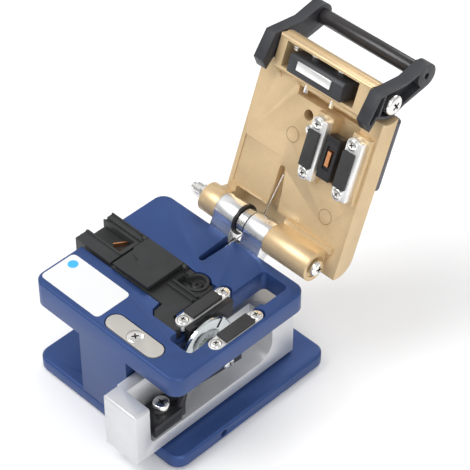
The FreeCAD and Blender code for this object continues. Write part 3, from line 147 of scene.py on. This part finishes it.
def brushedMetal(name, colour, roughness, stretch, scale=2200):
    material, tree, shader = finish(name, colour, 1.0, roughness)
    lines = noise(tree, objectSpace(tree, stretch), scale, 3, 0.6)
    tone = ramp(tree, lines, [(0.25, tint(colour, 0.9)), (0.75, tint(colour, 1.06))])
    tree.links.new(tone, shader.inputs["Base Color"])
    roughen(tree, shader, lines, roughness - 0.06, roughness + 0.1)
    grain(tree, shader, lines, 0.12, 0.00002)
    return material


def mouldedPlastic(name, colour, roughness, grainScale=2600, grainDepth=0.00003, wear=0.16):
    material, tree, shader = finish(name, colour, 0, roughness, specular=0.4)
    space = objectSpace(tree)
    fine = noise(tree, space, grainScale, 3, 0.6)
    patches = noise(tree, space, 160, 4)
    tone = ramp(tree, patches, [(0.3, tint(colour, 1 - wear)), (0.7, tint(colour, 1 + wear))])
    tree.links.new(tone, shader.inputs["Base Color"])
    roughen(tree, shader, fine, roughness - 0.08, roughness + 0.1)
    grain(tree, shader, fine, 0.3, grainDepth)
    return material


finishes = {
    "blue": blastedMetal("blueAnodised", (0.031, 0.072, 0.225), 0.42, 0.4, 5200, 0.00002, 0.06),
    "gold": blastedMetal("goldCasting", (0.70, 0.52, 0.30), 0.5, 0.36, 3600, 0.00004, 0.07),
    "aluminium": blastedMetal("blastedAluminium", (0.69, 0.70, 0.715), 0.6, 0.4, 4600, 0.00003, 0.05),
    "knuckle": brushedMetal("turnedAluminium", (0.88, 0.89, 0.90), 0.27, (0.05, 1, 1)),
    # painted shade: darker gold for the thin strips that stand for the shaded ejector ring grooves on the
    # lid
    "shade": blastedMetal("goldShade", (0.16, 0.10, 0.045), 0.4, 0.5, 3600, 0.00001, 0.05),
    "steel": brushedMetal("brightSteel", (0.88, 0.87, 0.84), 0.2, (1, 1, 1), 900),
    # painted shade: a near-black finish laid on the faces inside the screws' cross recesses, where shade
    # falls on the bright steel
    "screwRecessShade": brushedMetal("crossRecess", (0.10, 0.09, 0.085), 0.45, (1, 1, 1), 900),
    "plate": blastedMetal("clampSteel", (0.90, 0.90, 0.89), 0.7, 0.3, 5200, 0.00001, 0.02),
    "striker": blastedMetal("strikerSteel", (0.50, 0.48, 0.45), 0.35, 0.5, 5200, 0.00001, 0.03),
    "blade": brushedMetal("groundBlade", (0.66, 0.70, 0.70), 0.1, (1, 1, 1), 500),
    "hub": blastedMetal("indexHub", (0.72, 0.74, 0.74), 0.15, 0.4, 4600, 0.00001, 0.04),
    "copper": brushedMetal("copperStrip", (0.72, 0.33, 0.15), 0.3, (1, 1, 1), 900),
    "plastic": mouldedPlastic("blackPlastic", (0.024, 0.025, 0.026), 0.5),
    "lever": mouldedPlastic("leverPlastic", (0.03, 0.031, 0.036), 0.42),
    "grey": mouldedPlastic("coverPlastic", (0.075, 0.077, 0.09), 0.5),
    "rubber": mouldedPlastic("padRubber", (0.034, 0.034, 0.035), 0.66, 1500, 0.00006),
    "black": mouldedPlastic("blackenedMetal", (0.016, 0.016, 0.018), 0.38, 4000, 0.00002),
    "sleeve": mouldedPlastic("barSleeve", (0.03, 0.028, 0.03), 0.24, 3000, 0.00001),
    "sticker": mouldedPlastic("whiteSticker", (0.74, 0.745, 0.755), 0.42, 900, 0.00001, 0.01),
    "stickerDot": mouldedPlastic("blueDot", (0.05, 0.42, 0.74), 0.42, 900, 0.00001, 0.02),
    "ink": mouldedPlastic("greenInk", (0.03, 0.34, 0.10), 0.5, 900, 0.00001, 0.1),
    "mark": mouldedPlastic("darkMark", (0.012, 0.014, 0.014), 0.5, 900, 0.00001),
}
print("finishes made")


# ---- pieces taken from the frame, with their edges broken
def welded(node):
    work = bmesh.new()
    work.from_mesh(nodes[node].data)
    bmesh.ops.remove_doubles(work, verts=work.verts, dist=weldGap)
    return work


def smoothByAngle(mesh, degrees=33):
    for face in mesh.polygons:
        face.use_smooth = True
    mesh.set_sharp_from_angle(angle=math.radians(degrees))


def newPiece(name, mesh, body, material):
    piece = bpy.data.objects.new(name, mesh)
    bpy.context.collection.objects.link(piece)
    if material:
        mesh.materials.clear()
        mesh.materials.append(material)
    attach(piece, body)
    return piece


def plainMesh(source, name):
    graph = bpy.context.evaluated_depsgraph_get()
    mesh = bpy.data.meshes.new_from_object(source.evaluated_get(graph))
    mesh.name = name
    return mesh


def bodyOf(node):
    groups = frame["record"]["behaviour"]["bodies"]
    return next(body for body, names in groups.items() if node in names)


edgeStyle = {"segments": 2, "sharperThan": 28, "flatWithin": 0.6}


def brokenEdges(node, name, material, width):
    work = welded(node)
    flat = math.radians(edgeStyle["flatWithin"])
    bmesh.ops.dissolve_limit(work, angle_limit=flat, verts=work.verts, edges=work.edges)
    rough = bpy.data.meshes.new(name + "Rough")
    work.to_mesh(rough)
    work.free()
    source = bpy.data.objects.new(name + "Source", rough)
    bpy.context.collection.objects.link(source)
    bevel = source.modifiers.new("edges", "BEVEL")
    bevel.width = width * mm
    bevel.segments = edgeStyle["segments"]
    bevel.limit_method = "ANGLE"
    bevel.angle_limit = math.radians(edgeStyle["sharperThan"])
    bevel.use_clamp_overlap = True
    mesh = plainMesh(source, name)
    bpy.data.objects.remove(source)
    smoothByAngle(mesh)
    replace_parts(newPiece(name, mesh, bodyOf(node), material), node)


edgeBreaks = {
    "main_frame": ("deckAndColumn", "blue", 0.18), "base_plate": ("basePlate", "blue", 0.2),
    "lid_casting": ("lidCasting", "gold", 0.16), "lid_cover": ("lidCover", "grey", 0.2),
    "adapter_body": ("adapterBody", "plastic", 0.1), "adapter_cover": ("adapterCover", "plastic", 0.12),
    "carriage": ("carriageBody", "aluminium", 0.18), "blade_arm": ("bladeArm", "black", 0.15),
    "blade_guard": ("bladeGuard", "black", 0.15), "lever_arm_left": ("leverArmLeft", "lever", 0.15),
    "lever_arm_right": ("leverArmRight", "lever", 0.15), "magnet_holder": ("magnetHolder", "lever", 0.25),
    "magnet": ("magnetBlock", "plate", 0.12), "anvil_body": ("anvilBody", "black", 0.15),
    "lower_left_pad": ("lowerLeftPad", "rubber", 0.12), "lower_right_pad": ("lowerRightPad", "rubber", 0.12),
    "upper_left_pad": ("upperLeftPad", "rubber", 0.12), "upper_right_pad": ("upperRightPad", "rubber", 0.12),
    "lower_left_clamp_plate": ("lowerLeftPlate", "plate", 0.12),
    "lower_right_clamp_plate": ("lowerRightPlate", "plate", 0.12),
    "upper_left_clamp_plate": ("upperLeftPlate", "plate", 0.12),
    "upper_right_clamp_plate": ("upperRightPlate", "plate", 0.12),
    "striker_plate": ("strikerPlate", "striker", 0.1), "hinge_bracket": ("hingeBracket", "knuckle", 0.2),
    "hinge_nut": ("hingeNut", "steel", 0.2), "lever_bar": ("leverBar", "sleeve", 0.2),
    "sole_pad": ("rubberSole", "rubber", 0.2), "bearing_block": ("bearingBlock", "black", 0.1),
}
for node, (name, tone, width) in edgeBreaks.items():
    brokenEdges(node, name, finishes[tone], width)

kept = {
    "guide_rail": "aluminium", "adapter_clip": "copper", "anvil_insert": "copper",
    "cover_pin": "steel", "spring_lid_leg": "steel", "blade_disc": "blade",
    "blade_index_hub": "hub", "blade_axle_screw": "steel", "hinge_washers": "black",
    "base_screws": "steel", "guide_rail_screws": "steel", "bearing_screws": "steel",
    "lid_cover_screws": "steel",
}
for node, tone in kept.items():
    mesh = nodes[node].data
    mesh.materials.clear()
    mesh.materials.append(finishes[tone])
print("frame pieces dressed")


# ---- screws
def looseParts(node):
    work = welded(node)
    left = set(work.verts)
    parts = []
    while left:
        island, edge = set(), [left.pop()]
        while edge:
            vertex = edge.pop()
            island.add(vertex)
            for link in vertex.link_edges:
                other = link.other_vert(vertex)
                if other in left:
                    left.discard(other)
                    edge.append(other)
        parts.append(np.array([tuple(v.co) for v in island]))
    work.free()
    return parts


# cross recess cutter sizes; the last two values bound the faces inside the cross that get the dark finish as
# painted shade
crossRecess = {"reach": 1.2, "wide": 0.3, "deep": 0.7, "deepest": 0.9, "foot": 0.45, "shadeWithin": 0.5,
               "shadeBelow": 0.97}


def screwTemplate(name, size):
    head, tall = size["head"] * mm, size["tall"] * mm
    shank, length = size["shank"] * mm, size["length"] * mm
    profile = [(0, -length), (shank * 0.8, -length), (shank, -length + shank * 0.3), (shank, 0)]
    if size["shape"] == "pan":
        profile += [(head * 0.97, 0), (head, tall * 0.12), (head, tall * 0.42), (head * 0.95, tall * 0.66),
                    (head * 0.82, tall * 0.84), (head * 0.6, tall * 0.95), (head * 0.3, tall), (0, tall)]
    elif size["shape"] == "tall":
        profile += [(head * 0.97, 0), (head, tall * 0.05), (head, tall * 0.86), (head * 0.94, tall * 0.96),
                    (head * 0.84, tall), (0, tall)]
    else:
        profile += [(head * 0.98, 0), (head, tall * 0.1), (head, tall * 0.85),
                    (head * 0.93, tall), (0, tall)]
    work = bmesh.new()
    ring = [work.verts.new((radius, 0, height)) for radius, height in profile]
    for a, b in zip(ring, ring[1:]):
        work.edges.new((a, b))
    bmesh.ops.spin(work, geom=work.verts[:] + work.edges[:], cent=(0, 0, 0), axis=(0, 0, 1),
                   angle=math.tau, steps=32, use_merge=True)
    bmesh.ops.remove_doubles(work, verts=work.verts, dist=weldGap)
    bmesh.ops.recalc_face_normals(work, faces=work.faces)
    mesh = bpy.data.meshes.new(name)
    work.to_mesh(mesh)
    work.free()
    template = bpy.data.objects.new(name, mesh)
    bpy.context.collection.objects.link(template)
    cutters = []
    for turn in (0, 90):
        bar = bmesh.new()
        reach, wide = head * crossRecess["reach"], head * crossRecess["wide"]
        deep = min(tall * crossRecess["deep"], crossRecess["deepest"] * mm)
        bmesh.ops.create_cube(bar, size=1, matrix=Matrix.Rotation(math.radians(turn), 4, "Z")
                              @ Matrix.Translation((0, 0, tall))
                              @ Matrix.Diagonal((reach, wide, deep * 2, 1)))
        for vertex in bar.verts:
            if vertex.co.z < tall:
                vertex.co.x *= crossRecess["foot"]
                vertex.co.y *= crossRecess["foot"]
        cutterMesh = bpy.data.meshes.new("crossCutter")
        bar.to_mesh(cutterMesh)
        bar.free()
        cutter = bpy.data.objects.new("crossCutter", cutterMesh)
        bpy.context.collection.objects.link(cutter)
        cutters.append(cutter)
        slotCut = template.modifiers.new("cross", "BOOLEAN")
        slotCut.operation = "DIFFERENCE"
        slotCut.solver = "EXACT"
        slotCut.object = cutter
    ready = plainMesh(template, name + "Ready")
    smoothByAngle(ready, 38)
    # faces inside the cross recess are marked for the dark finish, which is painted shade
    recess = ready.attributes.new("recess", "BOOLEAN", "FACE")
    for face in ready.polygons:
        middle = face.center
        sunk = 0 < middle.z < tall * crossRecess["shadeBelow"]
        inside = math.hypot(middle.x, middle.y) < head * crossRecess["shadeWithin"]
        recess.data[face.index].value = sunk and inside
    for spare in cutters + [template]:
        bpy.data.objects.remove(spare)
    template = bpy.data.objects.new(name, ready)
    bpy.context.collection.objects.link(template)
    return template


def screwTree():
    tree = bpy.data.node_groups.new("screwsOnPoints", "GeometryNodeTree")
    face = tree.interface
    face.new_socket("Points", in_out="INPUT", socket_type="NodeSocketGeometry")
    face.new_socket("Screw", in_out="INPUT", socket_type="NodeSocketObject")
    face.new_socket("Finish", in_out="INPUT", socket_type="NodeSocketMaterial")
    face.new_socket("Recess Finish", in_out="INPUT", socket_type="NodeSocketMaterial")
    face.new_socket("Seed", in_out="INPUT", socket_type="NodeSocketInt")
    face.new_socket("Screws", in_out="OUTPUT", socket_type="NodeSocketGeometry")
    add, link = tree.nodes.new, tree.links.new
    given, out = add("NodeGroupInput"), add("NodeGroupOutput")
    info = add("GeometryNodeObjectInfo")
    facing = add("GeometryNodeInputNamedAttribute")
    facing.data_type = "FLOAT_VECTOR"
    facing.inputs["Name"].default_value = "facing"
    align = add("FunctionNodeAlignRotationToVector")
    align.axis = "Z"
    place = add("GeometryNodeInstanceOnPoints")
    spin = add("GeometryNodeRotateInstances")
    angle = add("FunctionNodeRandomValue")
    angle.data_type = "FLOAT_VECTOR"
    angle.inputs["Max"].default_value = (0, 0, math.tau)
    real, paint = add("GeometryNodeRealizeInstances"), add("GeometryNodeSetMaterial")
    link(given.outputs["Screw"], info.inputs["Object"])
    link(facing.outputs["Attribute"], align.inputs["Vector"])
    link(given.outputs["Points"], place.inputs["Points"])
    link(info.outputs["Geometry"], place.inputs["Instance"])
    link(align.outputs["Rotation"], place.inputs["Rotation"])
    link(place.outputs["Instances"], spin.inputs["Instances"])
    link(given.outputs["Seed"], angle.inputs["Seed"])
    link(angle.outputs["Value"], spin.inputs["Rotation"])
    link(spin.outputs["Instances"], real.inputs["Geometry"])
    link(real.outputs["Geometry"], paint.inputs["Geometry"])
    link(given.outputs["Finish"], paint.inputs["Material"])
    # the marked faces inside the cross recess get the dark finish, which is painted shade
    recess, shadeScrewRecesses = add("GeometryNodeInputNamedAttribute"), add("GeometryNodeSetMaterial")
    recess.data_type = "BOOLEAN"
    recess.inputs["Name"].default_value = "recess"
    link(paint.outputs["Geometry"], shadeScrewRecesses.inputs["Geometry"])
    link(recess.outputs["Attribute"], shadeScrewRecesses.inputs["Selection"])
    link(given.outputs["Recess Finish"], shadeScrewRecesses.inputs["Material"])
    link(shadeScrewRecesses.outputs["Geometry"], out.inputs["Screws"])
    return tree


def runTree(source, tree, values):
    modifier = source.modifiers.new("build", "NODES")
    modifier.node_group = tree
    for socket in tree.interface.items_tree:
        if socket.in_out == "INPUT" and socket.name in values:
            modifier[socket.identifier] = values[socket.name]
    mesh = plainMesh(source, source.name + "Mesh")
    bpy.data.objects.remove(source)
    return mesh


screwKinds = {
    "lower_clamp_screws": {"name": "lowerClampScrews", "facing": (0, 0, 1), "head": 1.85, "tall": 0.85,
                           "shank": 1.0, "length": 5, "shape": "pan", "tone": "steel"},
    "striker_screw": {"name": "strikerScrew", "facing": (0, 0, 1), "head": 2.6, "tall": 0.8,
                      "shank": 1.5, "length": 5, "shape": "flat", "tone": "steel"},
    "adapter_screw": {"name": "adapterScrew", "facing": (0, 0, 1), "head": 1.85, "tall": 0.85,
                      "shank": 1.0, "length": 5, "shape": "pan", "tone": "black"},
    "arm_foot_screw": {"name": "armFootScrew", "facing": (0, 0, 1), "head": 2.6, "tall": 3.4,
                       "shank": 1.5, "length": 6, "shape": "tall", "tone": "steel"},
    "arm_height_screw": {"name": "armHeightScrew", "facing": (0, 0, 1), "head": 1.2, "tall": 0.6,
                         "shank": 0.8, "length": 1.2, "shape": "flat", "tone": "black"},
    "arm_lock_screw": {"name": "armLockScrew", "facing": (1, 0, 0), "head": 2.1, "tall": 1.2,
                       "shank": 1.0, "length": 2, "shape": "pan", "tone": "steel"},
    "hinge_bracket_screws": {"name": "bracketScrews", "facing": (0, 1, 0), "head": 1.85, "tall": 0.85,
                             "shank": 1.0, "length": 5, "shape": "pan", "tone": "steel"},
    "hinge_pin": {"name": "hingePin", "facing": (1, 0, 0), "head": 2.7, "tall": 1.7,
                  "shank": 1.5, "length": 50.5, "shape": "pan", "tone": "steel"},
    "upper_clamp_screws": {"name": "upperClampScrews", "facing": tuple(-lidOut), "head": 1.85, "tall": 0.85,
                           "shank": 1.0, "length": 5, "shape": "pan", "tone": "steel"},
    "upper_stop_screw": {"name": "upperStopScrew", "facing": tuple(-lidOut), "head": 1.85, "tall": 0.85,
                         "shank": 1.0, "length": 4, "shape": "pan", "tone": "steel"},
    "magnet_screws": {"name": "magnetScrews", "facing": tuple(lidEnd), "head": 1.7, "tall": 1.1,
                      "shank": 1.0, "length": 12, "shape": "pan", "tone": "steel"},
}
screwsOnPoints = screwTree()
crownDepth = 0.02 * mm


def screwPiece(node, size, spots, facings, seed):
    template = screwTemplate(size["name"] + "Template", size)
    points = bpy.data.meshes.new(size["name"] + "Points")
    points.from_pydata([tuple(spot) for spot in spots], [], [])
    facing = points.attributes.new("facing", "FLOAT_VECTOR", "POINT")
    for i, direction in enumerate(facings):
        facing.data[i].vector = direction
    source = bpy.data.objects.new(size["name"] + "Source", points)
    bpy.context.collection.objects.link(source)
    mesh = runTree(source, screwsOnPoints, {
        "Screw": template, "Finish": finishes[size["tone"]], "Recess Finish": finishes["screwRecessShade"], "Seed": seed})
    bpy.data.objects.remove(template)
    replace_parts(newPiece(size["name"], mesh, bodyOf(node), None), node)


for seed, (node, size) in enumerate(screwKinds.items()):
    facing = np.array(size["facing"])
    spots = []
    for part in looseParts(node):
        reach = part @ facing
        crown = part[reach > reach.max() - crownDepth]
        centre = (crown.min(axis=0) + crown.max(axis=0)) / 2
        spots.append(centre - facing * size["tall"] * mm)
    screwPiece(node, size, spots, [facing] * len(spots), seed)

pivotScrew = {"name": "leverPivots", "head": 3.3, "tall": 1.7, "shank": 1.5, "length": 9,
              "shape": "pan", "tone": "steel", "seed": 40}
low, high = (Vector(corner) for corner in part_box("lever_pivots"))
middle = (low + high) / 2
crownAt = pivotScrew["tall"] * mm
spots = [(low.x + crownAt, middle.y, middle.z), (high.x - crownAt, middle.y, middle.z)]
screwPiece("lever_pivots", pivotScrew, spots, [(-1, 0, 0), (1, 0, 0)], pivotScrew["seed"])
print("screws made")


# ---- torsion spring
springSize = {"wire": 0.21, "radius": 4.08, "turns": 7, "leftWasher": 0.85, "rightWasher": 0.55,
              "legFromStart": 1.05, "stepsPerTurn": 56, "sides": 12, "legSides": 16}


def springTree():
    tree = bpy.data.node_groups.new("coiledWire", "GeometryNodeTree")
    face = tree.interface
    for name, kind in (("Geometry", "NodeSocketGeometry"), ("Turns", "NodeSocketFloat"),
                       ("Radius", "NodeSocketFloat"), ("Length", "NodeSocketFloat"),
                       ("Wire", "NodeSocketFloat"), ("Finish", "NodeSocketMaterial")):
        face.new_socket(name, in_out="INPUT", socket_type=kind)
    face.new_socket("Spring", in_out="OUTPUT", socket_type="NodeSocketGeometry")
    add, link = tree.nodes.new, tree.links.new
    given, out = add("NodeGroupInput"), add("NodeGroupOutput")
    helix, section = add("GeometryNodeCurveSpiral"), add("GeometryNodeCurvePrimitiveCircle")
    helix.inputs["Resolution"].default_value = springSize["stepsPerTurn"]
    section.inputs["Resolution"].default_value = springSize["sides"]
    sweep, real = add("GeometryNodeCurveToMesh"), add("GeometryNodeRealizeInstances")
    paint = add("GeometryNodeSetMaterial")
    sweep.inputs["Fill Caps"].default_value = True
    link(given.outputs["Turns"], helix.inputs["Rotations"])
    link(given.outputs["Radius"], helix.inputs["Start Radius"])
    link(given.outputs["Radius"], helix.inputs["End Radius"])
    link(given.outputs["Length"], helix.inputs["Height"])
    link(given.outputs["Wire"], section.inputs["Radius"])
    link(helix.outputs["Curve"], sweep.inputs["Curve"])
    link(section.outputs["Curve"], sweep.inputs["Profile Curve"])
    link(sweep.outputs["Mesh"], real.inputs["Geometry"])
    link(real.outputs["Geometry"], paint.inputs["Geometry"])
    link(given.outputs["Finish"], paint.inputs["Material"])
    link(paint.outputs["Geometry"], out.inputs["Spring"])
    return tree


def torsionSpring():
    low = Vector(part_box("torsion_spring")[0])
    wire = springSize["wire"] * mm
    washers = [Vector(corner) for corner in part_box("hinge_washers")]
    start = washers[0].x + springSize["leftWasher"] * mm + wire
    length = washers[1].x - springSize["rightWasher"] * mm - wire - start
    source = bpy.data.objects.new("springSource", bpy.data.meshes.new("springSource"))
    bpy.context.collection.objects.link(source)
    coil = runTree(source, springTree(), {
        "Turns": springSize["turns"], "Radius": springSize["radius"] * mm, "Length": length,
        "Wire": wire, "Finish": finishes["steel"]})
    axis = Vector((0, lidPose["hinge"][1], lidPose["hinge"][2])) * mm
    coil.transform(Matrix.Translation((start, axis.y, axis.z)) @ Matrix.Rotation(math.pi / 2, 4, "Y"))
    work = bmesh.new()
    work.from_mesh(coil)
    legLength = axis.y - low.y
    legMiddle = (start + springSize["legFromStart"] * mm, low.y + legLength / 2, low.z + wire)
    bmesh.ops.create_cone(work, segments=springSize["legSides"], cap_ends=True, radius1=wire, radius2=wire,
                          depth=legLength, matrix=Matrix.Translation(legMiddle)
                          @ Matrix.Rotation(math.pi / 2, 4, "X"))
    work.to_mesh(coil)
    work.free()
    smoothByAngle(coil, 40)
    piece = newPiece("torsionSpring", coil, "base", finishes["steel"])
    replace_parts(piece, "torsion_spring")


torsionSpring()
print("spring made")


# ---- blade dial
dial = {"numbers": 16, "ring": 5.1, "height": 1.75, "lift": 0.02, "thick": 0.02,
        "markFrom": 6.7, "markTo": 9.8, "markWide": 1.0, "markThick": 0.04, "markAngle": -38}


def bladeDial():
    low, high = (Vector(corner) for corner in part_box("blade_index_hub"))
    centre = Vector((high.x, (low.y + high.y) / 2, (low.z + high.z) / 2))
    work = bmesh.new()
    for i in range(dial["numbers"]):
        text = bpy.data.curves.new(f"dialNumber{i + 1}", "FONT")
        text.body = str(i + 1)
        text.size = dial["height"] * mm
        text.align_x, text.align_y = "CENTER", "CENTER"
        text.extrude = dial["thick"] * mm
        holder = bpy.data.objects.new(text.name, text)
        bpy.context.collection.objects.link(holder)
        mesh = plainMesh(holder, text.name + "Mesh")
        bpy.data.objects.remove(holder)
        turn = Matrix.Rotation(-math.tau * i / dial["numbers"], 4, "Z")
        mesh.transform(Matrix.Translation(centre + Vector((dial["lift"] * mm, 0, 0)))
                       @ Matrix.Rotation(math.pi / 2, 4, "Z") @ Matrix.Rotation(math.pi / 2, 4, "X")
                       @ turn @ Matrix.Translation((0, dial["ring"] * mm, 0)))
        work.from_mesh(mesh)
    bmesh.ops.remove_doubles(work, verts=work.verts, dist=1e-7)
    numbers = bpy.data.meshes.new("dialNumbers")
    work.to_mesh(numbers)
    work.free()
    newPiece("dialNumbers", numbers, "blade", finishes["ink"])

    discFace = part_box("blade_disc")[1][0]
    work = bmesh.new()
    long = dial["markTo"] - dial["markFrom"]
    bmesh.ops.create_cube(work, size=mm, matrix=Matrix.Translation((discFace, centre.y, centre.z))
                          @ Matrix.Rotation(math.radians(dial["markAngle"]), 4, "X")
                          @ Matrix.Translation((0, 0, (dial["markFrom"] + long / 2) * mm))
                          @ Matrix.Diagonal((dial["markThick"], dial["markWide"], long, 1)))
    line = bpy.data.meshes.new("bladeMark")
    work.to_mesh(line)
    work.free()
    newPiece("bladeMark", line, "blade", finishes["mark"])


bladeDial()
print("dial made")


# ---- sticker
sticker = {"left": 1.2, "right": 27.0, "front": 2.2, "back": 16.0, "thick": 0.1, "corner": 1.6,
           "dotAt": (4.6, 12.6), "dotRadius": 1.7, "dotThick": 0.03}


def roundedSheet(name, left, right, front, back, corner, low, high, material, steps=8):
    work = bmesh.new()
    ring = []
    for cx, cy, start in ((right, back, 0), (left, back, 90), (left, front, 180), (right, front, 270)):
        inX = cx - corner if cx == right else cx + corner
        inY = cy - corner if cy == back else cy + corner
        for step in range(steps + 1):
            angle = math.radians(start + 90 * step / steps)
            x, y = inX + corner * math.cos(angle), inY + corner * math.sin(angle)
            ring.append(work.verts.new((x, y, low)))
    face = work.faces.new(ring)
    raised = bmesh.ops.extrude_face_region(work, geom=[face])
    bmesh.ops.translate(work, vec=(0, 0, high - low),
                        verts=[item for item in raised["geom"] if isinstance(item, bmesh.types.BMVert)])
    bmesh.ops.recalc_face_normals(work, faces=work.faces)
    mesh = bpy.data.meshes.new(name)
    work.to_mesh(mesh)
    work.free()
    newPiece(name, mesh, "base", material)


deckCorner = Vector(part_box("main_frame")[0])
roundedSheet("deckSticker", deckCorner.x + sticker["left"] * mm, deckCorner.x + sticker["right"] * mm,
             deckCorner.y + sticker["front"] * mm, deckCorner.y + sticker["back"] * mm,
             sticker["corner"] * mm, deckTop, deckTop + sticker["thick"] * mm, finishes["sticker"])
dotX, dotY = (value * mm for value in sticker["dotAt"])
reach = sticker["dotRadius"] * mm
roundedSheet("stickerDot", deckCorner.x + dotX - reach, deckCorner.x + dotX + reach,
             deckCorner.y + dotY - reach, deckCorner.y + dotY + reach, reach * 0.999,
             deckTop + sticker["thick"] * mm, deckTop + (sticker["thick"] + sticker["dotThick"]) * mm,
             finishes["stickerDot"])
print("sticker made")


# ---- ejector rings on the lid's inner face, drawn as thin dark gold strips: painted shade of the ring grooves
ringGrooveShades = {"spots": [(4.35, 32.5, 2.45), (24.55, 14.4, 2.45)], "wire": 0.07, "level": 4.0,
              "proud": 0.015, "segments": 48}


def lidPoint(across, out, level):
    hinge = Vector(lidPose["hinge"])
    return (hinge + Vector((across, 0, 0)) + lidEnd * out + lidOut * level) * mm


for i, (across, out, radius) in enumerate(ringGrooveShades["spots"]):
    work = bmesh.new()
    bmesh.ops.create_circle(work, segments=ringGrooveShades["segments"], radius=(radius + ringGrooveShades["wire"]) * mm)
    bmesh.ops.create_circle(work, segments=ringGrooveShades["segments"], radius=(radius - ringGrooveShades["wire"]) * mm)
    bmesh.ops.bridge_loops(work, edges=work.edges)
    facing = (-lidOut).to_track_quat("Z", "Y").to_matrix().to_4x4()
    level = ringGrooveShades["level"] - ringGrooveShades["proud"]
    work.transform(Matrix.Translation(lidPoint(across, out, level)) @ facing)
    ring = bpy.data.meshes.new("mouldRing")
    work.to_mesh(ring)
    work.free()
    newPiece(f"mouldRing{i + 1}", ring, "lid", finishes["shade"])


# ---- camera, floor and light
camera = {"place": (325.957, -303.804, 474.026), "down": 43.174, "turn": 44.848, "lens": 155.66,
          "sensor": 36, "nearest": 0.01}
floorReach = 3
lampAim = (0, 0, 0.04)
lamps = {
    "keyLamp": {"place": (-0.32, -0.42, 0.85), "size": 0.5, "power": 5.2},
    "fillLamp": {"place": (0.75, -0.35, 0.5), "size": 0.6, "power": 2.6},
    "backLamp": {"place": (-0.1, 0.9, 0.7), "size": 0.5, "power": 3.0},
}
surroundings = {"light": 0.66, "bands": [(0.0, 0.5), (0.12, 0.28), (0.35, 0.5), (0.62, 1.0), (0.85, 0.55)]}


def studio():
    lens = bpy.data.cameras.new("camera")
    lens.lens = camera["lens"]
    lens.sensor_width = camera["sensor"]
    lens.clip_start = camera["nearest"]
    eye = bpy.data.objects.new("camera", lens)
    eye.location = [value * mm for value in camera["place"]]
    eye.rotation_euler = (math.radians(90 - camera["down"]), 0, math.radians(camera["turn"]))
    bpy.context.collection.objects.link(eye)
    bpy.context.scene.camera = eye

    floorMesh = bpy.data.meshes.new("floor")
    corners = [(x * floorReach, y * floorReach, 0) for x, y in ((-1, -1), (1, -1), (1, 1), (-1, 1))]
    floorMesh.from_pydata(corners, [], [(0, 1, 2, 3)])
    floor = bpy.data.objects.new("floor", floorMesh)
    bpy.context.collection.objects.link(floor)
    material = finish("floorWhite", (0.93, 0.93, 0.935), 0, 0.85, specular=0.1)[0]
    floorMesh.materials.append(material)

    for name, lamp in lamps.items():
        data = bpy.data.lights.new(name, "AREA")
        data.energy = lamp["power"]
        data.size = lamp["size"]
        light = bpy.data.objects.new(name, data)
        light.location = lamp["place"]
        aim = Vector(lampAim) - light.location
        light.rotation_euler = aim.to_track_quat("-Z", "Y").to_euler()
        bpy.context.collection.objects.link(light)

    world = bpy.data.worlds.new("world")
    bpy.context.scene.world = world
    world.use_nodes = True
    tree = world.node_tree
    back = tree.nodes["Background"]
    path = addNode(tree, "ShaderNodeLightPath")
    seen = addNode(tree, "ShaderNodeMath", operation="MAXIMUM")
    tree.links.new(path.outputs["Is Camera Ray"], seen.inputs[0])
    tree.links.new(path.outputs["Is Transmission Ray"], seen.inputs[1])
    backdrop = addNode(tree, "ShaderNodeMix", data_type="RGBA")
    backdrop.inputs["A"].default_value = (*[surroundings["light"]] * 3, 1)
    backdrop.inputs["B"].default_value = (1, 1, 1, 1)
    tree.links.new(seen.outputs["Value"], backdrop.inputs["Factor"])
    direction = addNode(tree, "ShaderNodeTexCoord")
    split = addNode(tree, "ShaderNodeSeparateXYZ")
    tree.links.new(direction.outputs["Generated"], split.inputs["Vector"])
    bands = ramp(tree, split.outputs["Z"], [(place, (level,) * 3) for place, level in surroundings["bands"]])
    mirrored = addNode(tree, "ShaderNodeMix", data_type="RGBA")
    tree.links.new(path.outputs["Is Glossy Ray"], mirrored.inputs["Factor"])
    tree.links.new(backdrop.outputs["Result"], mirrored.inputs["A"])
    tree.links.new(bands, mirrored.inputs["B"])
    tree.links.new(mirrored.outputs["Result"], back.inputs["Color"])
    bpy.context.scene.view_settings.view_transform = "Standard"


studio()
print("studio made")
